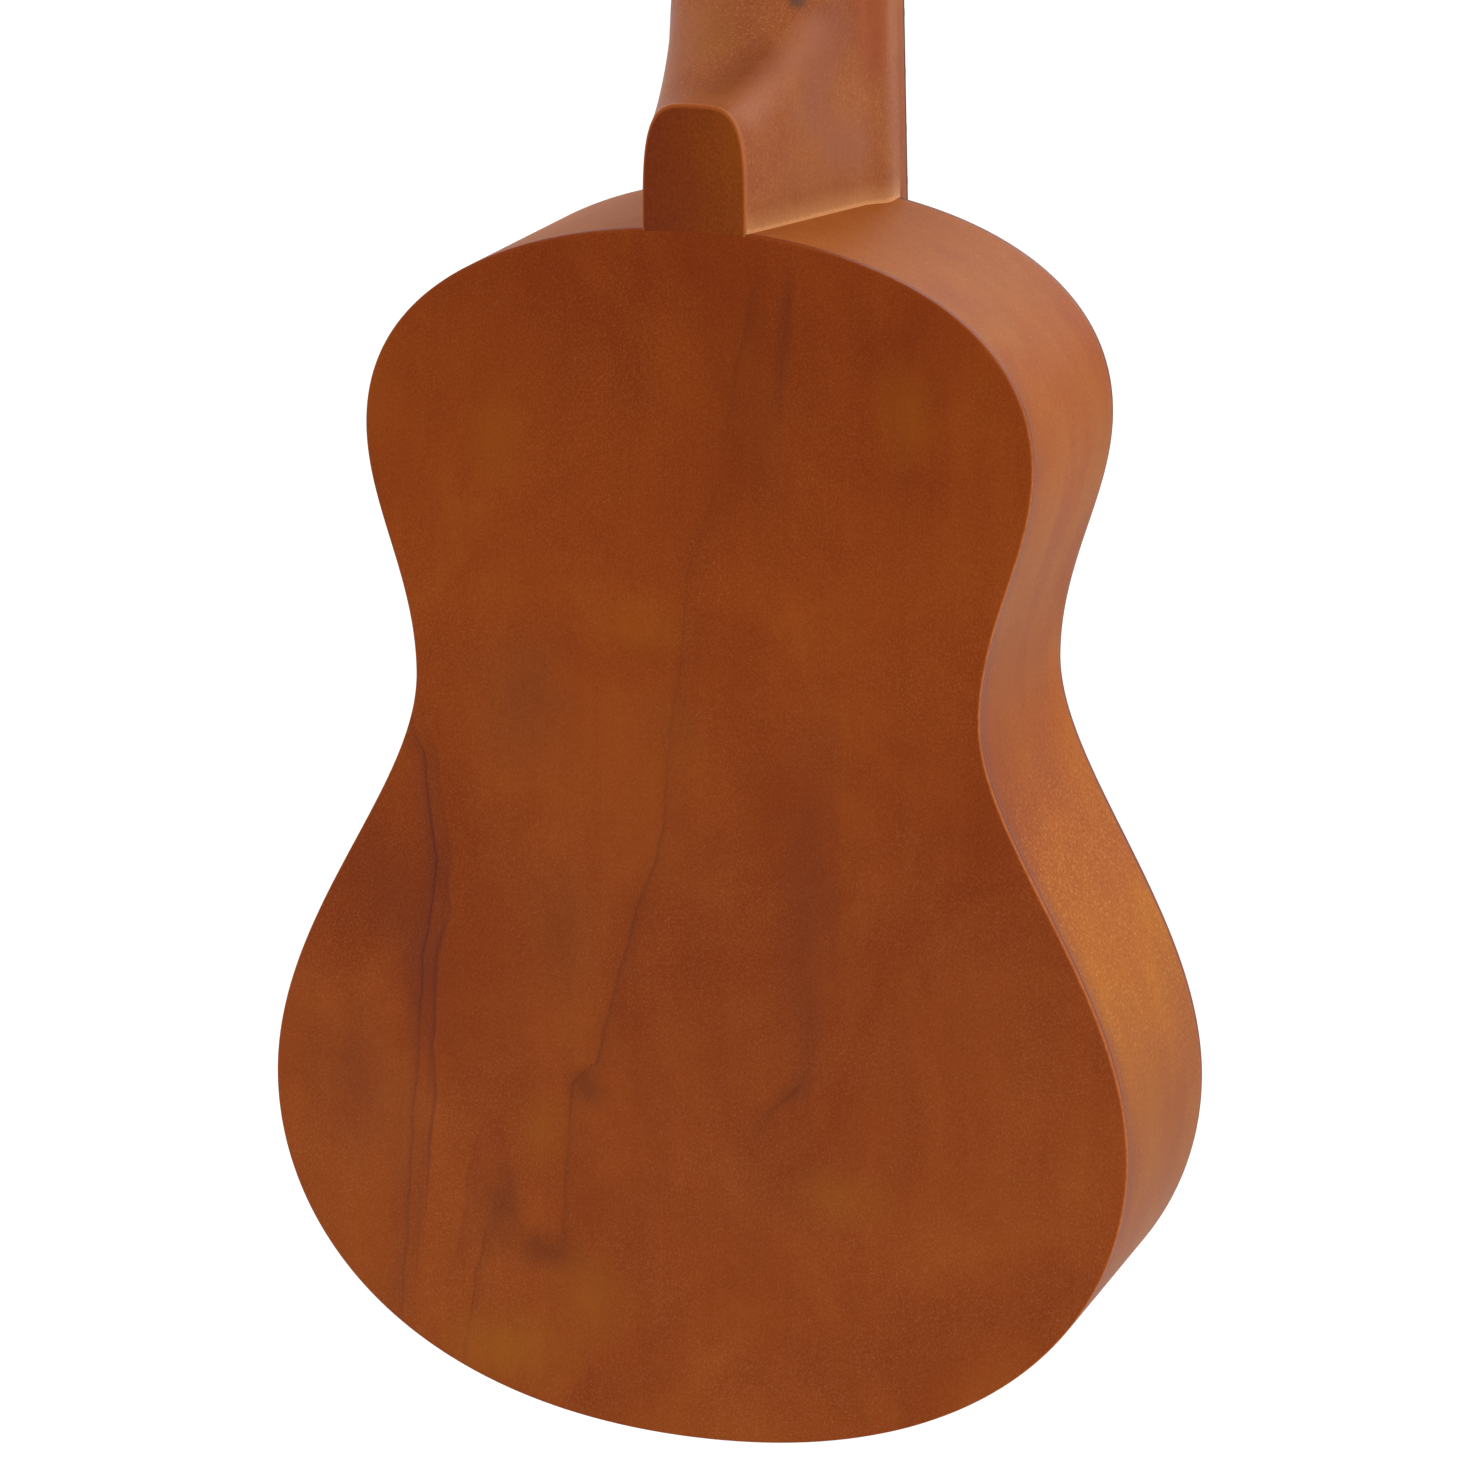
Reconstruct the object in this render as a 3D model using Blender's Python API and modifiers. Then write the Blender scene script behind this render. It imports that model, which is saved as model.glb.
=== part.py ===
"""Soprano ukulele: hollow body, carved neck, fretboard, bridge, strings and four geared tuners.

Metres, +Z up along the neck. The soundboard faces -Y, and its outer face is the plane y = 0.
The origin is on the centre line at the nut, in the plane where the fretboard is glued on.
"""

import math

import bmesh
import bpy
import numpy as np
from mathutils import Matrix, Vector

# Scale and body
SCALE_LENGTH = 0.345
FRET_COUNT = 12
JOINT_FRET = 12  # the fret over the joint of neck and body
BODY_LENGTH = 0.240
BODY_DEPTH = 0.0564
LOWER_BOUT = 0.1736
LOWER_BOUT_HEIGHT = 0.0655  # of the widest place, above the tail
WAIST = 0.1130
WAIST_HEIGHT = 0.1499
UPPER_BOUT = 0.1325
UPPER_BOUT_DROP = 0.0418  # of the widest place, below the joint
# How far each curve of the outline runs straight on from its widest or narrowest place,
# as a share of the way to the next such place
TAIL_FULLNESS = 0.688
LOWER_FULLNESS_DOWN = 0.496
LOWER_FULLNESS_UP = 0.3945
WAIST_FULLNESS_DOWN = 0.2737
WAIST_FULLNESS_UP = 0.3934
UPPER_FULLNESS_DOWN = 0.3354
UPPER_FULLNESS_UP = 0.6914
SHOULDER_FULLNESS = 0.4513
OUTLINE_STEPS = 10  # points on each of the four curves of a half

# Plates, sides and what joins them inside
GLUE_GAP = 0.0003  # between pieces that touch
SOUNDBOARD_THICKNESS = 0.0020
BACK_THICKNESS = 0.0020
SIDE_THICKNESS = 0.0018
LINING_WIDTH = 0.0045
LINING_HEIGHT = 0.0060
NECK_BLOCK_WIDTH = 0.046
NECK_BLOCK_LENGTH = 0.020
TAIL_BLOCK_WIDTH = 0.040
TAIL_BLOCK_LENGTH = 0.010
BRACE_WIDTH = 0.0060
BRACE_HEIGHT = 0.0080
BRACE_END_HEIGHT = 0.0025
BRACE_TAPER = 0.018
SOUNDBOARD_BRACES = {"upper": 0.0330, "lower": 0.0360}  # from the soundhole's centre
BACK_BRACES = {"upper": 0.058, "lower": 0.154}  # below the joint
BRIDGE_PLATE_LENGTH = 0.074
BRIDGE_PLATE_WIDTH = 0.026
BRIDGE_PLATE_THICKNESS = 0.0020

# Soundhole and rosette
SOUNDHOLE_RADIUS = 0.0240
SOUNDHOLE_DROP = 0.0840  # of its centre, below the joint
ROSETTE_INNER = 0.0275
ROSETTE_OUTER = 0.0315
ROSETTE_THICKNESS = 0.0007
RING_STEPS = 32

# Bridge, saddle and strings
SADDLE_SETBACK = 0.0010  # behind the scale length, so that fretted notes are in tune
BRIDGE_LENGTH = 0.064
BRIDGE_FRONT = 0.0060  # from the saddle to the edge nearest the soundhole
BRIDGE_BACK = 0.0120  # from the saddle to the edge nearest the tail
BRIDGE_HEIGHT = 0.0072
BRIDGE_WING_HEIGHT = 0.0030
BRIDGE_CENTRE_LENGTH = 0.046
SADDLE_LENGTH = 0.043
SADDLE_THICKNESS = 0.0024
SADDLE_SEAT_DEPTH = 0.0040
STRING_SLOT_DEPTH = 0.0044
KNOT_POCKET_WIDTH = 0.0038
KNOT_POCKET_LENGTH = 0.0036
KNOT_RADIUS = 0.0011
SADDLE_STRING_SPACING = 0.0135
NUT_STRING_SPACING = 0.0092
ACTION = 0.0023  # height of the strings over the 12th fret
NUT_ACTION = 0.0003  # height of the strings over the first fret, at the nut

# Neck
NUT_WIDTH = 0.0355
JOINT_WIDTH = 0.0456  # of the neck where it meets the body
SHAFT_DEPTH_NUT = 0.0130
SHAFT_DEPTH_JOINT = 0.0150
HEEL_CAP_WIDTH = 0.0205
HEEL_CAP_HEIGHT = 0.0235
HEEL_SWEEP = 0.034  # height of the curve from the heel cap up to the shaft
HEEL_FLARE = 1.35  # how late the heel's sides flare out to the neck's width
HEEL_BLEND = 0.0040  # width over which the shaft's round back runs into the heel's side
HEEL_ARCH = 3.2  # how square the heel's arch is: 2 is an ellipse
SHAFT_ROUNDNESS = 2.2
NECK_STEPS = 9  # points from the fretboard's edge round to the middle of the back
TENON_WIDTH = 0.014
TENON_LENGTH = 0.013

# Fretboard, frets and nut
FRETBOARD_THICKNESS = 0.0050
FRETBOARD_OVERHANG = 0.0080  # past the joint, over the soundboard
FRET_WIDTH = 0.0020
FRET_HEIGHT = 0.0010
FRET_TANG_WIDTH = 0.0006
FRET_TANG_DEPTH = 0.0015
FRET_SLOT_CLEARANCE = 0.0002
FRET_END_INSET = 0.0004
DOT_RADIUS = 0.0028
DOT_THICKNESS = 0.0010
DOT_STEPS = 16
DOT_FRETS = (5, 7, 10)
NUT_THICKNESS = 0.0045
NUT_RISE = 0.0022  # of its top over the fretboard

# Headstock
HEAD_TILT = math.radians(12)
HEAD_LENGTH = 0.110
HEAD_THICKNESS = 0.0120
HEAD_SHOULDER_WIDTH = 0.0480
HEAD_TOP_WIDTH = 0.0540
HEAD_FLARE_LENGTH = 0.0190
HEAD_CROWN_LENGTH = 0.0200
HEAD_CROWN_ROUNDNESS = 2.8
HEAD_EDGE_RADIUS = 0.0025

# Tuners
POST_FROM_CENTRE = 0.0130
POST_ROWS = (0.034, 0.070)  # from the nut, along the headstock
POST_RADIUS = 0.0030
POST_RISE = 0.0125  # over the headstock's front
POST_TIP_RADIUS = 0.0022
POST_CLEARANCE = 0.00025
STRING_HOLE_RADIUS = 0.0008
STRING_HOLE_HEIGHT = 0.0085
WINDING_HEIGHT = 0.0032
WINDING_TURNS = 3
WINDING_VALLEY = 0.3  # height of the string between two turns, as a share of its gauge
BUSHING_FLANGE_RADIUS = 0.0050
BUSHING_FLANGE_THICKNESS = 0.0010
BUSHING_SLEEVE_RADIUS = 0.0041
BUSHING_SLEEVE_LENGTH = 0.0060
WHEEL_TEETH = 14
GEAR_MODULE = 0.0006
WHEEL_THICKNESS = 0.0028
TOOTH_HEIGHT = 0.00055  # over the pitch circle
TOOTH_DEPTH = 0.00075  # under the pitch circle
TOOTH_CLEARANCE = 0.00020
TOOTH_ROOT_SHARE = 0.27  # half a tooth's width at its root and tip, as shares of a tooth's turn
TOOTH_TIP_SHARE = 0.10
WORM_PITCH_RADIUS = 0.00215
WORM_THREAD_TURNS = 3.0
WORM_SIDES = 10
WORM_THREAD_STEEPNESS = 0.95
WORM_THREAD_FULLNESS = 0.31  # 0.5 is as wide as its gap
WORM_ROWS_PER_TURN = 6
PLATE_THICKNESS = 0.0010
PLATE_WIDTH = 0.0108
PLATE_TAIL = 0.0120  # from the post to the plate's end away from the worm
PLATE_SCREW_INSET = 0.0030
EAR_THICKNESS = 0.0010
SHAFT_RADIUS = 0.00135
SHAFT_CLEARANCE = 0.00025
SHAFT_STUB = 0.0008
SCREW_HEAD_RADIUS = 0.0021
SCREW_HEAD_HEIGHT = 0.0010
WHEEL_COLLAR_RADIUS = 0.0033
BUTTON_LENGTH = 0.0125
BUTTON_WIDTH = 0.0135
BUTTON_THICKNESS = 0.0062
BUTTON_SWELL = (0.75, 1.45, 1.15)  # its cage's width at the inner end, middle and outer end
BUTTON_CAGE = 1.5  # its cage's thickness, which the smoothing draws in
BUTTON_GRIP = 0.0080  # how far the shaft goes into the button
BUTTON_CLEARANCE = 0.0020  # from the headstock's edge

# Each string: its name, gauge, side of the centre line (-1 is bass) and row of its post
STRINGS = (("g", 0.00071, -1, 0), ("c", 0.00084, -1, 1), ("e", 0.00076, 1, 1), ("a", 0.00061, 1, 0))


# Places worked out from the sizes


def fret_distance(number):
    """Distance from the nut to a fret, on the equal tempered scale."""
    return SCALE_LENGTH * (1 - 2 ** (-number / 12))


BODY_TOP = -fret_distance(JOINT_FRET)
TAIL = BODY_TOP - BODY_LENGTH
SOUNDHOLE_Z = BODY_TOP - SOUNDHOLE_DROP
SADDLE_Z = -SCALE_LENGTH - SADDLE_SETBACK
FRETBOARD_FRONT = -(GLUE_GAP + FRETBOARD_THICKNESS)
FRET_TOP = FRETBOARD_FRONT - GLUE_GAP - FRET_HEIGHT
FRETBOARD_END = BODY_TOP - FRETBOARD_OVERHANG
PLATE_SEAT = GLUE_GAP + PLATE_THICKNESS
PITCH_RADIUS = GEAR_MODULE * WHEEL_TEETH / 2
WORM_PITCH = math.pi * GEAR_MODULE
WORM_OFFSET = PITCH_RADIUS + WORM_PITCH_RADIUS
WORM_OUTER = WORM_PITCH_RADIUS + TOOTH_HEIGHT
WORM_LENGTH = WORM_THREAD_TURNS * WORM_PITCH
WHEEL_LEVEL = PLATE_SEAT + WORM_OUTER + GLUE_GAP  # of the wheel's middle and the worm's axis, over the back
HEAD_START = Vector((0, 0, NUT_THICKNESS + 2 * GLUE_GAP))
HEAD_UP = Vector((0, math.sin(HEAD_TILT), math.cos(HEAD_TILT)))
HEAD_BACK = Vector((0, math.cos(HEAD_TILT), -math.sin(HEAD_TILT)))


# Scene and materials


def new_collection(name):
    collection = bpy.data.collections.new(name)
    bpy.context.scene.collection.children.link(collection)
    return collection


for leftover in list(bpy.data.objects):
    bpy.data.objects.remove(leftover)
UKULELE = new_collection("ukulele")
CUTTERS = new_collection("cutters")


def material(name, color, roughness, metallic=0.0):
    made = bpy.data.materials.new(name)
    made.use_nodes = True
    shader = made.node_tree.nodes["Principled BSDF"]
    shader.inputs["Base Color"].default_value = (*color, 1)
    shader.inputs["Roughness"].default_value = roughness
    shader.inputs["Metallic"].default_value = metallic
    return made


STAINED_WOOD = material("stained_wood", (0.25, 0.07, 0.02), 0.5)
PALE_WOOD = material("pale_wood", (0.62, 0.45, 0.27), 0.7)
DARK_WOOD = material("dark_wood", (0.035, 0.02, 0.014), 0.5)
ROSETTE_WOOD = material("rosette_wood", (0.75, 0.68, 0.52), 0.5)
WHITE_PLASTIC = material("white_plastic", (0.85, 0.83, 0.76), 0.35)
NICKEL = material("nickel", (0.75, 0.74, 0.71), 0.25, 1.0)
FRET_METAL = material("fret_metal", (0.70, 0.69, 0.66), 0.3, 1.0)
NYLON = material("nylon", (0.80, 0.80, 0.78), 0.3)


# Building helpers


def add_mesh(name, mesh, finish, matrix=None, parent=None):
    """Links a mesh as one piece of the ukulele, placed in its parent's frame."""
    piece = bpy.data.objects.new(name, mesh)
    UKULELE.objects.link(piece)
    mesh.materials.clear()
    mesh.materials.append(finish)
    piece.parent = parent
    piece.matrix_local = matrix or Matrix()
    return piece


def as_cutter(piece):
    """Moves a piece to the cutters, where it is a guide and not part of the object."""
    UKULELE.objects.unlink(piece)
    CUTTERS.objects.link(piece)
    piece.hide_render = True
    piece.display_type = "WIRE"
    return piece


def combine(piece, other, operation):
    """Cuts, joins or intersects the piece with another, which becomes a cutter."""
    if other.name not in CUTTERS.objects:
        as_cutter(other)
    boolean = piece.modifiers.new(other.name, "BOOLEAN")
    boolean.operation = operation
    boolean.object = other
    return piece


def box(name, low, high, finish, parent=None):
    """A box from its lowest to its highest corner."""
    low, high = Vector(low), Vector(high)
    cage = bmesh.new()
    bmesh.ops.create_cube(cage, size=1)
    bmesh.ops.scale(cage, vec=high - low, verts=cage.verts)
    mesh = bpy.data.meshes.new(name)
    cage.to_mesh(mesh)
    cage.free()
    return add_mesh(name, mesh, finish, Matrix.Translation((low + high) / 2), parent)


def cylinder(name, radius, length, finish, matrix=None, parent=None, sides=20):
    """A cylinder along its own Z, centred on its origin."""
    cage = bmesh.new()
    bmesh.ops.create_cone(cage, cap_ends=True, segments=sides, radius1=radius, radius2=radius, depth=length)
    mesh = bpy.data.meshes.new(name)
    cage.to_mesh(mesh)
    cage.free()
    return add_mesh(name, mesh, finish, matrix, parent)


def flat_piece(name, loops, thickness, finish, matrix, parent=None):
    """A flat outline with its holes, in local XY, made thick along local Z."""
    curve = bpy.data.curves.new(name, "CURVE")
    curve.dimensions = "2D"
    curve.fill_mode = "BOTH"
    curve.extrude = thickness / 2
    for loop in loops:
        spline = curve.splines.new("POLY")
        spline.points.add(len(loop) - 1)
        for point, (x, y) in zip(spline.points, loop):
            point.co = (x, y, 0, 1)
        spline.use_cyclic_u = True
    guide = bpy.data.objects.new(name, curve)
    UKULELE.objects.link(guide)
    bpy.context.view_layer.update()
    mesh = bpy.data.meshes.new_from_object(guide.evaluated_get(bpy.context.evaluated_depsgraph_get()))
    bpy.data.objects.remove(guide)
    bpy.data.curves.remove(curve)
    welded = bmesh.new()
    welded.from_mesh(mesh)
    bmesh.ops.remove_doubles(welded, verts=welded.verts, dist=1e-6)
    welded.to_mesh(mesh)
    welded.free()
    return add_mesh(name, mesh, finish, matrix, parent)


def turned_piece(name, profile, finish, matrix=None, parent=None, sides=16):
    """A profile of (radius, height) points, top to bottom, turned about local Z."""
    mesh = bpy.data.meshes.new(name)
    edges = [(i, i + 1) for i in range(len(profile) - 1)]
    mesh.from_pydata([(radius, 0, height) for radius, height in profile], edges, [])
    piece = add_mesh(name, mesh, finish, matrix, parent)
    screw = piece.modifiers.new("turn", "SCREW")
    screw.steps = screw.render_steps = sides
    screw.use_merge_vertices = True
    screw.merge_threshold = 1e-6
    return piece


def turned_ring(name, inner, outer, low, high, finish, matrix=None, parent=None, sides=RING_STEPS):
    """A ring of square section about local Z."""
    corners = [(inner, high), (outer, high), (outer, low), (inner, low), (inner, high)]
    return turned_piece(name, corners, finish, matrix, parent, sides)


def lofted(name, rings, finish, matrix=None, parent=None, wrap=True):
    """A skin over rings of equal count, with an end face on the first and the last."""
    stations, count = rings.shape[:2]
    last = count if wrap else count - 1
    faces = []
    for s in range(stations - 1):
        for i in range(last):
            j = (i + 1) % count
            faces.append((s * count + i, s * count + j, (s + 1) * count + j, (s + 1) * count + i))
    faces.append(tuple(range(count - 1, -1, -1)))
    faces.append(tuple(range((stations - 1) * count, stations * count)))
    mesh = bpy.data.meshes.new(name)
    mesh.from_pydata(rings.reshape(-1, 3).tolist(), [], faces)
    return add_mesh(name, mesh, finish, matrix, parent)


def tube(name, points, radii, finish, parent=None):
    """A round cord through the points, with a radius at each."""
    curve = bpy.data.curves.new(name, "CURVE")
    curve.dimensions = "3D"
    curve.bevel_depth = 1.0
    curve.bevel_resolution = 1
    curve.use_fill_caps = True
    spline = curve.splines.new("POLY")
    spline.points.add(len(points) - 1)
    for knot, point, radius in zip(spline.points, points, radii):
        knot.co = (*point, 1)
        knot.radius = radius
    cord = bpy.data.objects.new(name, curve)
    UKULELE.objects.link(cord)
    curve.materials.append(finish)
    cord.parent = parent
    return cord


def smooth(piece, degrees=35):
    piece.data.shade_smooth()
    piece.data.set_sharp_from_angle(angle=math.radians(degrees))
    return piece


def smoothstep(value, start, end):
    t = np.clip((value - start) / (end - start), 0, 1)
    return t * t * (3 - 2 * t)


def circle(radius, count, centre=(0, 0)):
    angle = np.arange(count) / count * 2 * math.pi
    return np.stack([centre[0] + radius * np.cos(angle), centre[1] + radius * np.sin(angle)], axis=1)


# The body's outline


def bezier(start, leave, arrive, end):
    """One cubic curve as points, without its last."""
    t = np.arange(OUTLINE_STEPS)[:, None] / OUTLINE_STEPS
    start, leave, arrive, end = (np.array(p, float) for p in (start, leave, arrive, end))
    return (1 - t) ** 3 * start + 3 * (1 - t) ** 2 * t * leave + 3 * (1 - t) * t**2 * arrive + t**3 * end


def half_outline(inset=0.0):
    """The right half of the outline as (x, z) from the tail to the joint, moved in square to itself."""
    tail, top = (0, TAIL), (0, BODY_TOP)
    lower, waist, upper = LOWER_BOUT / 2, WAIST / 2, UPPER_BOUT / 2
    lower_z, waist_z, upper_z = TAIL + LOWER_BOUT_HEIGHT, TAIL + WAIST_HEIGHT, BODY_TOP - UPPER_BOUT_DROP
    low, middle, high = lower_z - TAIL, waist_z - lower_z, upper_z - waist_z
    points = np.concatenate([
        bezier(tail, (TAIL_FULLNESS * lower, TAIL),
               (lower, lower_z - LOWER_FULLNESS_DOWN * low), (lower, lower_z)),
        bezier((lower, lower_z), (lower, lower_z + LOWER_FULLNESS_UP * middle),
               (waist, waist_z - WAIST_FULLNESS_DOWN * middle), (waist, waist_z)),
        bezier((waist, waist_z), (waist, waist_z + WAIST_FULLNESS_UP * high),
               (upper, upper_z - UPPER_FULLNESS_DOWN * high), (upper, upper_z)),
        bezier((upper, upper_z), (upper, upper_z + UPPER_FULLNESS_UP * UPPER_BOUT_DROP),
               (SHOULDER_FULLNESS * upper, BODY_TOP), top),
        [top],
    ])
    along = np.gradient(points, axis=0)
    along[[0, -1]] = (1, 0), (-1, 0)
    along /= np.linalg.norm(along, axis=1, keepdims=True)
    outward = np.stack([along[:, 1], -along[:, 0]], axis=1)
    return points - inset * outward


def whole_outline(inset=0.0):
    half = half_outline(inset)
    mirrored = half[-2:0:-1] * (-1, 1)
    return np.concatenate([half, mirrored])


def half_width(z, inset=0.0):
    """Half the body's width at a height."""
    half = half_outline(inset)
    return float(np.interp(z, half[:, 1], half[:, 0]))


def side_line(inset, tail_x, top_x):
    """The half outline between two places near its ends, given by their distance from the centre line."""
    half = half_outline(inset)
    middle = len(half) // 2
    tail_z = np.interp(tail_x, half[:middle, 0], half[:middle, 1])
    top_z = np.interp(-top_x, -half[middle:, 0], half[middle:, 1])
    inside = half[(half[:, 1] > tail_z) & (half[:, 1] < top_z)]
    return np.concatenate([[(tail_x, tail_z)], inside, [(top_x, top_z)]])


FACE_PLANE = Matrix.Rotation(math.pi / 2, 4, "X")  # local X, Y, Z to X, Z and -Y


def in_face_plane(y, z=0.0):
    return Matrix.Translation((0, y, z)) @ FACE_PLANE


# Body


def bent_strip(name, side, inset, thickness, front, back, ends, finish):
    """A strip bent along the outline on one side, as wide as from front to back."""
    outer, inner = side_line(inset, *ends), side_line(inset + thickness, *ends)
    loop = np.concatenate([outer, inner[::-1]]) * (side, 1)
    strip = flat_piece(name, [loop], back - front, finish, in_face_plane((front + back) / 2))
    return smooth(strip)


def make_plates():
    soundboard = flat_piece(
        "soundboard", [whole_outline(), circle(SOUNDHOLE_RADIUS, RING_STEPS, (0, SOUNDHOLE_Z))],
        SOUNDBOARD_THICKNESS, STAINED_WOOD, in_face_plane(SOUNDBOARD_THICKNESS / 2))
    groove = turned_ring(
        "rosette_groove", ROSETTE_INNER - GLUE_GAP, ROSETTE_OUTER + GLUE_GAP,
        -ROSETTE_THICKNESS - GLUE_GAP, ROSETTE_THICKNESS, PALE_WOOD, in_face_plane(0, SOUNDHOLE_Z))
    combine(soundboard, groove, "DIFFERENCE")
    turned_ring("rosette", ROSETTE_INNER, ROSETTE_OUTER, -ROSETTE_THICKNESS, 0, ROSETTE_WOOD,
                in_face_plane(0, SOUNDHOLE_Z))
    flat_piece("back_plate", [whole_outline()], BACK_THICKNESS, STAINED_WOOD,
               in_face_plane(BODY_DEPTH - BACK_THICKNESS / 2))


INNER_FRONT = SOUNDBOARD_THICKNESS + GLUE_GAP  # where what sits on the plates' inner faces begins
INNER_BACK = BODY_DEPTH - BACK_THICKNESS - GLUE_GAP
LINING_INSET = SIDE_THICKNESS + GLUE_GAP


def make_sides_and_linings():
    side_ends = (GLUE_GAP / 2, TENON_WIDTH / 2 + GLUE_GAP)
    lining_ends = (TAIL_BLOCK_WIDTH / 2 + GLUE_GAP, NECK_BLOCK_WIDTH / 2 + GLUE_GAP)
    for label, side in (("left", -1), ("right", 1)):
        bent_strip(f"side_{label}", side, 0, SIDE_THICKNESS, INNER_FRONT, INNER_BACK, side_ends, STAINED_WOOD)
        bent_strip(f"front_lining_{label}", side, LINING_INSET, LINING_WIDTH,
                   INNER_FRONT, INNER_FRONT + LINING_HEIGHT, lining_ends, PALE_WOOD)
        bent_strip(f"back_lining_{label}", side, LINING_INSET, LINING_WIDTH,
                   INNER_BACK - LINING_HEIGHT, INNER_BACK, lining_ends, PALE_WOOD)


def make_blocks():
    """The end blocks, whose outer faces follow the sides. The neck block has a mortise for the tenon."""
    depth = INNER_BACK - INNER_FRONT
    inside = flat_piece("inside_of_sides", [whole_outline(LINING_INSET)], depth, PALE_WOOD,
                        in_face_plane((INNER_FRONT + INNER_BACK) / 2))
    over = SIDE_THICKNESS
    neck_half, tail_half = NECK_BLOCK_WIDTH / 2, TAIL_BLOCK_WIDTH / 2
    neck_block = box("neck_block", (-neck_half, INNER_FRONT - over, BODY_TOP - NECK_BLOCK_LENGTH),
                     (neck_half, INNER_BACK + over, BODY_TOP + over), PALE_WOOD)
    combine(neck_block, inside, "INTERSECT")
    mortise_half = TENON_WIDTH / 2 + GLUE_GAP
    mortise = box("mortise", (-mortise_half, INNER_FRONT - over, BODY_TOP - TENON_LENGTH - GLUE_GAP),
                  (mortise_half, INNER_BACK + over, BODY_TOP + 2 * over), PALE_WOOD)
    combine(neck_block, mortise, "DIFFERENCE")
    tail_block = box("tail_block", (-tail_half, INNER_FRONT - over, TAIL - over),
                     (tail_half, INNER_BACK + over, TAIL + LINING_INSET + TAIL_BLOCK_LENGTH), PALE_WOOD)
    combine(tail_block, inside, "INTERSECT")


def brace(name, z, seat, inward):
    """A cross brace on a plate's inner face, with its ends pared down between the linings."""
    reach = min(half_width(z + d, LINING_INSET + LINING_WIDTH) for d in (-BRACE_WIDTH / 2, BRACE_WIDTH / 2))
    half = reach - GLUE_GAP
    low, high = seat, seat + inward * BRACE_HEIGHT
    end = seat + inward * BRACE_END_HEIGHT
    t = np.linspace(0, 1, 5)
    pared = np.stack([half - BRACE_TAPER * t, end + (high - end) * np.sin(t * math.pi / 2)], axis=1)
    right = np.concatenate([[(half, low)], pared])
    loop = np.concatenate([right, right[::-1] * (-1, 1)])
    flat_piece(name, [loop], BRACE_WIDTH, PALE_WOOD, Matrix.Translation((0, 0, z)))


def make_braces():
    brace("soundboard_brace_upper", SOUNDHOLE_Z + SOUNDBOARD_BRACES["upper"], INNER_FRONT, 1)
    brace("soundboard_brace_lower", SOUNDHOLE_Z - SOUNDBOARD_BRACES["lower"], INNER_FRONT, 1)
    for label, drop in BACK_BRACES.items():
        brace(f"back_brace_{label}", BODY_TOP - drop, INNER_BACK, -1)
    middle = SADDLE_Z + (BRIDGE_FRONT - BRIDGE_BACK) / 2
    half_length, half_width_z = BRIDGE_PLATE_LENGTH / 2, BRIDGE_PLATE_WIDTH / 2
    box("bridge_plate", (-half_length, INNER_FRONT, middle - half_width_z),
        (half_length, INNER_FRONT + BRIDGE_PLATE_THICKNESS, middle + half_width_z), PALE_WOOD)


# Neck


def neck_half_width(z):
    """Half the neck's width at its front face, on a straight taper from the nut to the joint."""
    return (NUT_WIDTH + (JOINT_WIDTH - NUT_WIDTH) * z / BODY_TOP) / 2


def shaft_depth(z):
    return SHAFT_DEPTH_NUT + (SHAFT_DEPTH_JOINT - SHAFT_DEPTH_NUT) * np.clip(z / BODY_TOP, 0, 1)


def rounded(depth, full, width, flat, roundness):
    """Half width of a section at a depth: full at the front, a flat of half width flat at the back."""
    share = np.clip(depth / full, 0, 1) ** roundness
    return flat + (width - flat) * (1 - share) ** (1 / roundness)


def heel_half_width(depth, height, shaft):
    """Half width of the heel at a depth from the front and a height over the joint.

    At each depth the heel is an arch. The arch grows wider and taller from the cap towards the shaft.
    """
    forward = BODY_DEPTH - depth
    cap, base = HEEL_CAP_WIDTH / 2, JOINT_WIDTH / 2
    wide = cap + (base - cap) * np.clip(forward / BODY_DEPTH, 0, 1) ** HEEL_FLARE
    sweep = np.clip(forward / (BODY_DEPTH - shaft), 0, 1)
    tall = HEEL_CAP_HEIGHT + HEEL_SWEEP * (1 - np.sqrt(1 - sweep**2))
    share = np.clip(height / tall, 0, 1) ** HEEL_ARCH
    return wide * (1 - share) ** (1 / HEEL_ARCH)


def heel_depth(height, shaft):
    """How far back the heel reaches at a height over the joint, down to the shaft's depth."""
    rise = np.clip((height - HEEL_CAP_HEIGHT) / HEEL_SWEEP, 0, 1)
    return BODY_DEPTH - (BODY_DEPTH - shaft) * np.sqrt(1 - (1 - rise) ** 2)


def section_depths(full, cap_share):
    """Depths of a section's points. With a cap share of 1 the last but one is at full depth too."""
    turn = np.minimum(np.arange(NECK_STEPS + 1) / (NECK_STEPS - cap_share), 1)
    return full * np.sin(turn * math.pi / 2)


def half_ring(depths, widths):
    """Points of half a section as (x, depth): front middle, front edge, round to the back's middle."""
    widths = widths.copy()
    widths[-1] = 0
    return np.concatenate([[(0, 0)], np.stack([widths, depths], axis=1)])


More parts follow.
